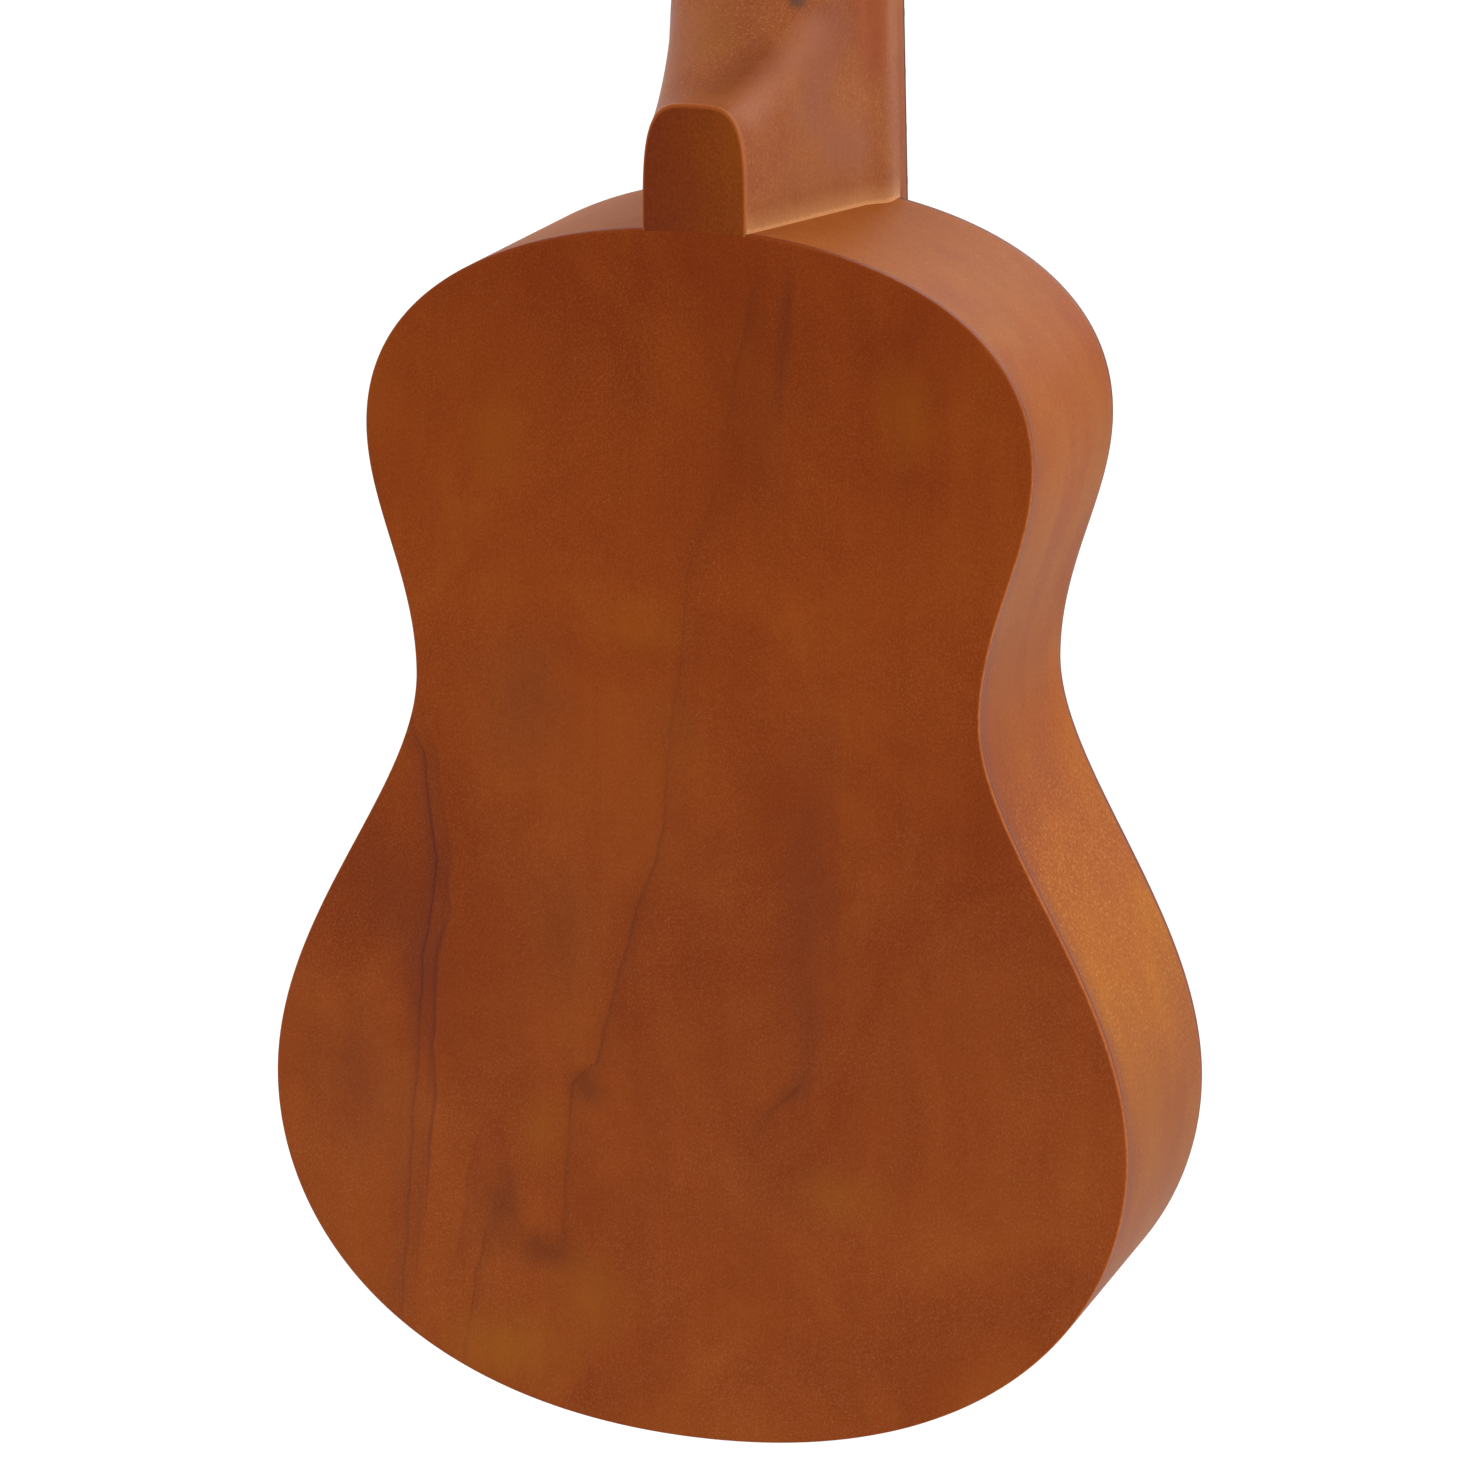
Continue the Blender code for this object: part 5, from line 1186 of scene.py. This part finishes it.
def string_heights(gauge):
    """How far a string's middle is in front of the glue plane, at the nut and at the saddle."""
    fret_top = -FRET_TOP + gauge / 2
    nut = fret_top + 0.0003
    return nut, nut + 2 * (fret_top + 0.0023 - nut)


# %% Nut and saddle
def bar(stations, section_at):
    """A bar along X: one closed section of (z, depth) for each station."""
    sections = np.array([section_at(x) for x in stations])
    return closed_ends(xyz(stations[:, None], sections[..., 1], sections[..., 0]))


def make_nut():
    top, half = BOARD_FRONT - NUT_RISE, NECK_NUT_WIDTH / 2
    slots = [(string_x(i, NUT_SPACING), string_heights(gauge)[0], gauge / 2 + 0.00005)
             for i, (_, gauge, _, _) in enumerate(STRINGS)]
    corners = [(NUT_THICK, 0), (0, 0), (0, top), (NUT_THICK, top + 0.0009), (NUT_THICK, 0)]
    shape = rounded_corners(corners, 0.0007, 5)

    def section_at(x):
        section = shape.copy()
        for middle, height, radius in slots:
            if abs(x - middle) < radius:
                floor = -height + math.sqrt(radius**2 - (x - middle) ** 2)
                section[:, 1] = np.maximum(section[:, 1], floor)
        return section

    around_slot = np.concatenate([[-1.02], np.linspace(-0.99, 0.99, 9), [1.02]])
    around_slots = [middle + radius * around_slot for middle, _, radius in slots]
    stations = np.unique(np.concatenate([np.linspace(-half, half, 30), *around_slots]))
    skin("nut_bar", [bar(stations, section_at)], BONE_WHITE, replaces=["nut"])


def make_saddle():
    """A bar with a round crest that falls at both ends."""
    gauge = STRINGS[-1][1]
    crest = string_heights(gauge)[1] - gauge / 2 - 0.0001
    foot = GLUE_GAP + 0.0072 - 0.0040

    def section_at(x):
        fall = max(SADDLE_ROUND - (SADDLE_HALF - abs(x)), 0)
        top = crest - SADDLE_ROUND + math.sqrt(SADDLE_ROUND**2 - fall**2)
        arc = half_circle(13) * (SADDLE_ROUND, -SADDLE_ROUND) - (0, top - SADDLE_ROUND)
        return np.concatenate([arc, [(-SADDLE_ROUND, -foot), (SADDLE_ROUND, -foot)]]) + (SADDLE_Z, 0)

    ends = SADDLE_HALF - SADDLE_ROUND * (1 - np.sin(quarter_turn(7)))
    middle = SADDLE_HALF - SADDLE_ROUND
    stations = np.unique(np.concatenate([-ends, ends, np.linspace(-middle, middle, 12)]))
    skin("saddle_bar", [bar(stations, section_at)], BONE_WHITE, replaces=["saddle"])


make_nut()
make_saddle()


# %% Bridge
def make_bridge():
    """Low wings and a high middle, rounded over at both long edges, with four slots that end in pockets."""
    half, middle_half, wing, round_over = 0.032, 0.023, 0.0033, 0.0011
    floor, pocket = BRIDGE_RISE - BRIDGE_SLOT, 0.0019
    slots = [(string_x(i, SADDLE_SPACING), gauge / 2 + 0.0003) for i, (_, gauge, _, _) in enumerate(STRINGS)]
    pocket_end, slot_end = BRIDGE_LOW + 0.0036, SADDLE_Z - 0.0014
    upper, lower = BRIDGE_HIGH - round_over, BRIDGE_LOW + round_over
    z = np.unique(np.concatenate([
        np.linspace(BRIDGE_HIGH, upper, 6), np.linspace(upper, lower, 14),
        np.linspace(lower, BRIDGE_LOW, 6), [end + d for end in (pocket_end, slot_end) for d in (-HAIR, HAIR)]
    ]))[::-1]
    from_edge = np.minimum(BRIDGE_HIGH - z, z - BRIDGE_LOW)
    dip = round_over - np.sqrt(round_over**2 - np.maximum(round_over - from_edge, 0) ** 2)

    def section_at(x):
        share = np.clip((half - abs(x)) / (half - middle_half), 0, 1)
        rise = wing + (BRIDGE_RISE - wing) * (1 - math.cos(share * math.pi)) / 2
        height = rise - dip * min(1, rise / BRIDGE_RISE + 0.3)
        for centre, width in slots:
            if abs(x - centre) < width:
                height = np.where(z < slot_end, np.minimum(height, floor), height)
            if abs(x - centre) < pocket:
                height = np.where(z < pocket_end, np.minimum(height, floor - 0.0003), height)
        return np.concatenate([[(BRIDGE_HIGH, 0)], np.stack([z, -height], axis=1), [(BRIDGE_LOW, 0)]])

    edges = [centre + side * (wide + d) for centre, width in slots for wide in (width, pocket)
             for side in (-1, 1) for d in (-HAIR, HAIR)]
    stations = np.unique(np.concatenate([np.linspace(-half, half, 80), edges]))
    skin("bridge_block", [bar(stations, section_at)], DARK_WOOD, replaces=["bridge"], corner=30)


make_bridge()

# %% [markdown]
# ## Rosette
#
# A ring of fine strips is let into the soundboard round the hole: dark and cream lines, and between
# them a band cut slantwise. The rings come from each point's distance to the hole's middle, and the
# slant from its angle.

# %% Rosette
RING_LIP = 0.00005
SLANTS = 96  # cuts round the band


def rosette_finish():
    inlay = Finish("rosette_inlay", "rosette_wood", 0.4, gloss=0.35)
    across, along = inlay.x, inlay.z - HOLE_Z
    radius = reckon("SQRT", across * across + along * along)
    share = reckon("DIVIDE", radius - RING_INNER, RING_OUTER - RING_INNER, clamp=True)
    dark, cream = paint(34, 24, 20), paint(224, 206, 168)
    rings = share.ramp([(0.0, dark), (0.12, cream), (0.24, dark), (0.30, cream), (0.70, dark),
                        (0.76, cream), (0.88, dark)], "CONSTANT")
    slant = reckon("ARCTAN2", along, across) * (SLANTS / (2 * math.pi)) + share
    band = (reckon("FRACT", slant) > 0.5) * reckon("COMPARE", share, 0.5, 0.2)
    inlay.show({"Base Color": rings.mix(band, paint(120, 62, 34))})
    inlay.dent(inlay.noise(1500, (1, 1, 0.3)), 0.15, 0.0001)
    return inlay


ring_profile = [(RING_INNER, -RING_DEPTH), (RING_INNER, 0), (RING_INNER + 2 * RING_LIP, RING_LIP),
                (RING_OUTER - 2 * RING_LIP, RING_LIP), (RING_OUTER, 0), (RING_OUTER, -RING_DEPTH),
                (RING_INNER, -RING_DEPTH)]
ring_seat = Matrix.Translation((0, 0, HOLE_Z)) @ FACE_PLANE
skin("rosette_ring", [turned(ring_profile, 180, ring_seat)], rosette_finish(), replaces=["rosette"])

# %% [markdown]
# ## Strings
#
# A string is a round cord: circles of its radius stand square to the path and move along it without
# twisting. The path starts in a small knot behind the bridge, comes up over the saddle and the nut,
# and runs to its post, where a winding takes over that turns with the post.


# %% Cords
def cord_grid(path, radius, sides=10):
    """Circles carried along a path. Each one's axes are the last one's, turned by as little as needed."""
    path = np.asarray(path, float)
    ahead = np.gradient(path, axis=0)
    ahead /= np.linalg.norm(ahead, axis=1, keepdims=True)
    side = np.cross(ahead[0], (1.0, 0.2, 0.1))
    sides_made = []
    for direction in ahead:
        side = side - direction * side.dot(direction)
        side /= np.linalg.norm(side)
        sides_made.append(side)
    first = np.array(sides_made)
    second = np.cross(ahead, first)
    angle = whole_turn(sides)[:, None]
    circle = first[:, None] * np.cos(angle) + second[:, None] * np.sin(angle)
    return closed_ends(path[:, None] + circle * radius)


def knot_path(size, steps=60):
    """An overhand knot: a cord that runs twice round its own loop and rises three times."""
    t = np.linspace(0.35, 2 * math.pi - 0.35, steps)
    return size * xyz(np.sin(t) + 2 * np.sin(2 * t), -np.sin(3 * t), np.cos(t) - 2 * np.cos(2 * t))


# %% Strings
POST_FROM_CENTRE, POST_ROWS, POST_RADIUS = 0.013, (0.034, 0.070), 0.003
WINDING_HEIGHT = 0.0032


def head_point(x, v, depth):
    """A point of the headstock: across, along its front face, and back from that face."""
    return HEAD_START + np.array([x, 0, 0]) + v * HEAD_UP + depth * HEAD_BACK


def meeting_point(index, gauge, side, row, depth):
    """Where the string first touches its winding: the tangent from the nut to the winding's circle."""
    reach = POST_RADIUS + gauge / 2
    centre = np.array([side * POST_FROM_CENTRE, POST_ROWS[row]])
    away = np.array([string_x(index, NUT_SPACING), 0.0]) - centre
    angle = math.atan2(away[1], away[0]) - side * math.acos(reach / np.linalg.norm(away))
    return head_point(centre[0] + reach * math.cos(angle), centre[1] + reach * math.sin(angle), depth)


def make_string(index, label, gauge, side, row):
    """The knot lies in its pocket, and the cord in the bottom of its slot until it rises to the saddle."""
    nut, saddle = string_heights(gauge)
    at_saddle, at_nut = string_x(index, SADDLE_SPACING), string_x(index, NUT_SPACING)
    lie, knot_z = BRIDGE_RISE - BRIDGE_SLOT + gauge / 2 + 0.0001, BRIDGE_LOW + 0.0020
    corners = [(at_saddle, -lie, knot_z + 0.0004), (at_saddle, -lie, SADDLE_Z - 0.0045),
               (at_saddle, -saddle, SADDLE_Z - 0.0006), (at_saddle, -saddle, SADDLE_Z + 0.0006),
               (at_nut, -nut, 0), (at_nut, -nut, NUT_THICK * 0.6),
               meeting_point(index, gauge, side, row, -(WINDING_HEIGHT + gauge / 2))]
    cord = cord_grid(rounded_corners(corners, 0.0012, 6), gauge / 2)
    knot = cord_grid(knot_path(0.00034) + (at_saddle, -lie, knot_z), gauge * 0.42, 8)
    skin(f"string_line_{label}", [cord, knot], NYLON, replaces=[f"string_{label}"])


for index, (label, gauge, side, row) in enumerate(STRINGS):
    make_string(index, label, gauge, side, row)

# %% [markdown]
# ## Tuners
#
# Each tuner is a nickel base plate on the headstock's back with two ears, a worm on the button's
# shaft, and a wheel of fourteen teeth on the string post. One turn of the button moves the wheel by
# one tooth. The worm and its wheel take the most care: the thread has to run between the teeth.

# %% Where each tuner sits
PLATE_THICK, PLATE_WIDTH, PLATE_TAIL = 0.0013, 0.0108, 0.012
PITCH_RADIUS, WORM_RADIUS, TOOTH_HEIGHT = 0.0042, 0.00215, 0.00055
WORM_OUTER, WORM_OFFSET = WORM_RADIUS + TOOTH_HEIGHT, PITCH_RADIUS + WORM_RADIUS
WHEEL_LEVEL, WHEEL_HALF = 0.0043, 0.0014
WORM_PITCH = math.pi * 0.0006
TEETH = 14
SHAFT_RADIUS = 0.00135
SCREW_RADIUS, SCREW_FROM_END = 0.0021, 0.003
PLATE_HEAD = WORM_OFFSET + WORM_OUTER + 0.0042 + SCREW_FROM_END
BUTTON_WIDTH, BUTTON_THICK, BUTTON_LENGTH, BUTTON_CLEARANCE = 0.0135, 0.0062, 0.0125, 0.002
BUTTON_SWELL, BUTTON_CAGE = (0.75, 1.45, 1.15), 1.5  # its cage, which the smoothing draws in
COLLAR = [(0, -0.0003), (0.0019, -0.0003), (0.0021, -0.0001), (0.0021, 0.0006), (0.0018, 0.0014), (0, 0.0014)]
POST_RISE, STRING_HOLE = 0.0125, 0.0085  # over the headstock's front


def seat_of(side, row):
    """A frame on the post's axis at the headstock's back: X out to the button, Z back."""
    out = Vector((side, 0, 0))
    back = Vector(HEAD_BACK)
    matrix = Matrix((out, back.cross(out), back)).transposed().to_4x4()
    matrix.translation = Vector(head_point(side * POST_FROM_CENTRE, POST_ROWS[row], HEAD_THICK))
    return matrix


# %% Screws
def screw_head(height, matrix, slot=0.00035, deep=0.0005, steps=15):
    """A domed head: height falls towards the edge, and a straight slot is cut across it."""
    edge = slot + 0.00001
    run = np.sin(np.linspace(-1, 1, steps) * math.pi / 2)
    x = np.unique(np.concatenate([SCREW_RADIUS * run, [-edge, -slot, slot, edge]]))[:, None]
    y = np.sqrt(np.maximum(SCREW_RADIUS**2 - x**2, 0)) * run
    out = np.sqrt(x**2 + y**2) / SCREW_RADIUS
    level = height * (0.45 + 0.55 * (1 - out**2.4)) - deep * (np.abs(x) <= slot)
    grid = xyz(x, y, level)
    floor = grid * (1, 1, 0) - (0, 0, 0.0002)
    walls = [np.stack([grid[:, end], floor[:, end]], axis=0) for end in (0, -1)]
    return [moved(sheet, matrix) for sheet in (grid, floor, *walls)]


# %% Base plates
def plate_outline(lean, inset):
    """Two half circles: one beyond the worm, one at the tail."""
    arc = half_circle(17) * (PLATE_WIDTH / 2 - inset)
    far, near = arc + (0, PLATE_HEAD - PLATE_WIDTH / 2), -arc + (0, PLATE_WIDTH / 2 - PLATE_TAIL)
    return np.concatenate([far, near]) * (1, lean)


def ear(x, lean, matrix):
    """An upright ear with a round top, bent up from the plate to carry the worm's shaft."""
    top = half_circle(15) * WORM_OUTER + (0, WHEEL_LEVEL)
    section = np.concatenate([top, [(-WORM_OUTER, PLATE_THICK / 2), (WORM_OUTER, PLATE_THICK / 2)]])
    middle = section.mean(axis=0)
    rows = [(-0.0005, 0.94), (-0.0004, 1.0), (0.0004, 1.0), (0.0005, 0.94)]  # eased at both faces
    off, share = np.array(rows).T[..., None]
    y, z = ((section[:, axis] - middle[axis]) * share + middle[axis] for axis in (0, 1))
    return moved(closed_ends(xyz(x + off, (y + WORM_OFFSET) * lean, z)), matrix)


def make_plate(label, seat, lean):
    tubes = [slab(lambda inset: plate_outline(lean, inset), PLATE_THICK, 0.0004, seat)]
    tubes += [ear(side * (PLATE_WIDTH - 0.001) / 2, lean, seat) for side in (-1, 1)]
    skin(f"base_plate_{label}", tubes, NICKEL, replaces=[f"tuner_{label}_plate"])
    far, near = PLATE_HEAD - SCREW_FROM_END, SCREW_FROM_END - PLATE_TAIL
    for end, v, spin in (("far", far, 0.5), ("near", near, 1.9)):
        place = seat @ Matrix.Translation((0, lean * v, PLATE_THICK))
        place = place @ Matrix.Rotation(spin + ord(label), 4, "Z")
        skin(f"plate_screw_{end}_{label}", [], NICKEL, corner=35, sheets=screw_head(0.001, place))


# %% Worm and button
def make_worm(label, seat, lean, start):
    """The shaft's radius follows one right-handed thread between the ears."""
    half = 1.5 * WORM_PITCH
    inner, outer = -(PLATE_WIDTH / 2 + 0.0008), start + 0.008
    stations = np.concatenate([[inner, inner + 0.0002], np.linspace(-half, half, 133), [outer]])[:, None]
    angle = whole_turn(36)
    phase = stations / WORM_PITCH - angle / (2 * math.pi)
    ridge = np.clip(0.31 + 0.95 * np.cos(2 * math.pi * phase), 0, 1)
    fade = smoothstep(half - np.abs(stations), 0, WORM_PITCH / 5)
    radius = SHAFT_RADIUS + fade * ridge * (WORM_OUTER - SHAFT_RADIUS)
    radius[0] -= 0.0002
    # Angle 0 faces the wheel, and angles go right-handed about the shaft's outward axis.
    grid = xyz(stations, -lean * radius * np.cos(angle), -lean * radius * np.sin(angle))
    place = seat @ Matrix.Translation((0, lean * WORM_OFFSET, WHEEL_LEVEL))
    skin(f"worm_{label}", [moved(closed_ends(grid), place)], NICKEL, f"button_{label}",
         [f"tuner_{label}_worm_shaft"], corner=50)


def button_start(row):
    """Where a button begins on its shaft: clear of the headstock's edge."""
    along = POST_ROWS[row] + WORM_OFFSET * np.arange(3)
    return float(head_half_width(along).max()) - POST_FROM_CENTRE + BUTTON_CLEARANCE


def make_button(label, seat, lean, start):
    """A cage of three four-cornered rings that Subdivision Surface rounds into a flat oval button."""
    place = seat @ Matrix.Translation((start, lean * WORM_OFFSET, WHEEL_LEVEL))
    y, z = np.array([(1, 1), (-1, 1), (-1, -1), (1, -1)]).T
    along = np.array([0.0, 0.5, 1.0])[:, None] * BUTTON_LENGTH
    half_y = (BUTTON_WIDTH * np.array(BUTTON_SWELL) / 2)[:, None]
    cage = xyz(along, y * half_y, z * (BUTTON_THICK * BUTTON_CAGE / 2))
    faces = np.concatenate([faces_of(3, 4, True, 0), [[3, 2, 1, 0], [8, 9, 10, 11]]])
    mesh = quad_mesh(f"knob_{label}", moved(cage, place).reshape(-1, 3), faces)
    knob = own(f"knob_{label}", mesh, PEARL_WHITE, f"button_{label}", [f"tuner_{label}_button"])
    soft = knob.modifiers.new("round it", "SUBSURF")
    soft.levels = soft.render_levels = 4
    lying = place @ Matrix.Rotation(math.pi / 2, 4, "Y")
    skin(f"knob_collar_{label}", [turned(COLLAR, 32, lying)], NICKEL, f"button_{label}")


# %% Wheel, post and bushing
def tooth_profile(level):
    """The wheel's toothed outline with rounded tips, turned a little at each level to suit the thread."""
    tip, root = PITCH_RADIUS + TOOTH_HEIGHT - 0.0002, PITCH_RADIUS - 0.00075
    step = 2 * math.pi / TEETH
    shares = np.array([-0.36, -0.27, -0.185, -0.12, -0.06, 0.06, 0.12, 0.185, 0.27, 0.36])
    lift = np.array([0.0, 0.0, 0.5, 0.9, 1.0, 1.0, 0.9, 0.5, 0.0, 0.0])
    middle = math.pi / 2 + (np.arange(TEETH)[:, None] + 0.5) * step + level / (TEETH * WORM_RADIUS)
    angle = (middle + shares * step).ravel()
    radius = np.tile(root + (tip - root) * lift, TEETH)
    return np.stack([radius * np.cos(angle), radius * np.sin(angle)], axis=1)


def make_wheel(label, seat):
    """Toothed outlines from level to level, drawn in at both faces, and the screw in a shallow dish."""
    half, step = WHEEL_HALF, 0.0002
    rows = [(-half, 0.94), (-half + step, 1.0)]
    rows += [(level, 1.0) for level in np.linspace(-half + 2 * step, half - 2 * step, 6)]
    rows += [(half - step, 1.0), (half, 0.94), (half, 0.70), (half - 2 * step, 0.66)]
    grid = np.array([at_level(tooth_profile(level) * share, level + WHEEL_LEVEL) for level, share in rows])
    dish = seat @ Matrix.Translation((0, 0, WHEEL_LEVEL + half - 2 * step))
    skin(f"wheel_{label}", [moved(closed_ends(grid), seat)], NICKEL, f"post_{label}", corner=35)
    skin(f"wheel_screw_{label}", [], NICKEL, f"post_{label}", corner=35, sheets=screw_head(0.0014, dish))


def make_post(label, seat):
    """A post from the wheel through the headstock, waisted where the string winds, with its hole."""
    front, tip, waist = -HEAD_THICK, -HEAD_THICK - POST_RISE, POST_RADIUS - 0.0001
    over_plate, hub = PLATE_THICK + 0.0003, POST_RADIUS + 0.0003
    corners = [(0, WHEEL_LEVEL), (hub, WHEEL_LEVEL), (hub, over_plate), (POST_RADIUS, over_plate),
               (POST_RADIUS, front - 0.0030), (waist, front - 0.0034), (waist, tip + 0.0035),
               (POST_RADIUS, tip + 0.0012), (0.0022, tip), (0, tip)]
    post = skin(f"post_shaft_{label}", [turned(rounded_corners(corners, 0.0004, 4), 40, seat)], NICKEL,
                f"post_{label}", [f"tuner_{label}_post"], corner=35)
    drill(post, seat @ Matrix.Translation((0, 0, front - STRING_HOLE)) @ FACE_PLANE, 0.0008, 0.02)


def drill(piece, matrix, radius, length, sides=28):
    """Cuts a round hole along the matrix's Z, and lets the cutter go."""
    profile = [(0, -length / 2), (radius, -length / 2), (radius, length / 2), (0, length / 2)]
    mesh = quad_mesh("drill", turned(profile, sides, matrix).reshape(-1, 3), faces_of(4, sides, True, 0))
    cutter = bpy.data.objects.new("drill", mesh)
    bpy.context.scene.collection.objects.link(cutter)
    cut = piece.modifiers.new("hole", "BOOLEAN")
    cut.operation, cut.object, cut.solver = "DIFFERENCE", cutter, "EXACT"
    bpy.context.view_layer.update()
    graph = bpy.context.evaluated_depsgraph_get()
    drilled = bpy.data.meshes.new_from_object(piece.evaluated_get(graph))
    piece.modifiers.remove(cut)
    piece.data = drilled
    bpy.data.objects.remove(cutter)
    drilled.shade_smooth()
    drilled.set_sharp_from_angle(angle=math.radians(35))


def make_bushing(label, seat):
    front, bore, outer, flange = -HEAD_THICK, POST_RADIUS + 0.0002, 0.0041, 0.005
    corners = [(bore, front + 0.006), (outer, front + 0.006), (outer, front), (flange, front),
               (flange, front - 0.0013), (bore + 0.0005, front - 0.0013), (bore, front - 0.0009),
               (bore, front + 0.006)]
    skin(f"bushing_{label}", [turned(rounded_corners(corners, 0.0004, 4), 48, seat)], NICKEL,
         replaces=[f"tuner_{label}_bushing"], corner=50)


def make_winding(index, label, gauge, side, row, seat):
    """Three turns of string up the post, a last rise to its hole, and the cut end beyond."""
    reach, front = POST_RADIUS + gauge / 2, -HEAD_THICK
    local = seat.inverted() @ Vector(meeting_point(index, gauge, side, row, 0))
    start = math.atan2(local.y, local.x)
    # Seen from local Z the string comes up the headstock and goes on round the post the same way.
    turns = 3 * 2 * math.pi
    climb = (math.pi / 2 - side * start) % (2 * math.pi)
    share = np.linspace(0, 1, 150)
    angle = start + share * (side * (turns + climb))
    coil = turns / (turns + climb)
    level = WINDING_HEIGHT + gauge / 2 + 3 * gauge * np.minimum(share / coil, 1)
    level += (STRING_HOLE - level[-1]) * smoothstep(share, coil, 1)
    helix = xyz(reach * np.cos(angle), reach * np.sin(angle), front - level)
    inward = np.linspace(1, -1, 8)[1:, None] * (helix[-1] * (1, 1, 0)) + (0, 0, front - STRING_HOLE)
    ahead = (inward[-1] - inward[0]) * (1, 1, 0) / np.linalg.norm(inward[-1] - inward[0])
    tail = inward[-1] + np.linspace(0, 1, 5)[1:, None] * (0.0028 * ahead - (0, 0, 0.0006))
    path = np.concatenate([helix, inward, tail])
    skin(f"winding_{label}", [moved(cord_grid(path, gauge / 2 * 0.98), seat)], NYLON, f"post_{label}")


# %% Make the four tuners
for index, (label, gauge, side, row) in enumerate(STRINGS):
    seat, lean, start = seat_of(side, row), -side, button_start(row)
    make_plate(label, seat, lean)
    make_worm(label, seat, lean, start)
    make_button(label, seat, lean, start)
    make_wheel(label, seat)
    make_post(label, seat)
    make_bushing(label, seat)
    make_winding(index, label, gauge, side, row, seat)

# %% [markdown]
# ## Inside the body
#
# The blocks, braces and linings are right as the CAD has them. They keep their shape and get the pale
# bare wood.

# %% Inner wood
INSIDE = ["neck_block", "tail_block", "bridge_plate", "soundboard_brace_upper", "soundboard_brace_lower",
          "back_brace_upper", "back_brace_lower", "front_lining_left", "front_lining_right",
          "back_lining_left", "back_lining_right"]
for name in INSIDE:
    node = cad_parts[name]
    node.data.materials.clear()
    node.data.materials.append(PALE_WOOD.material)
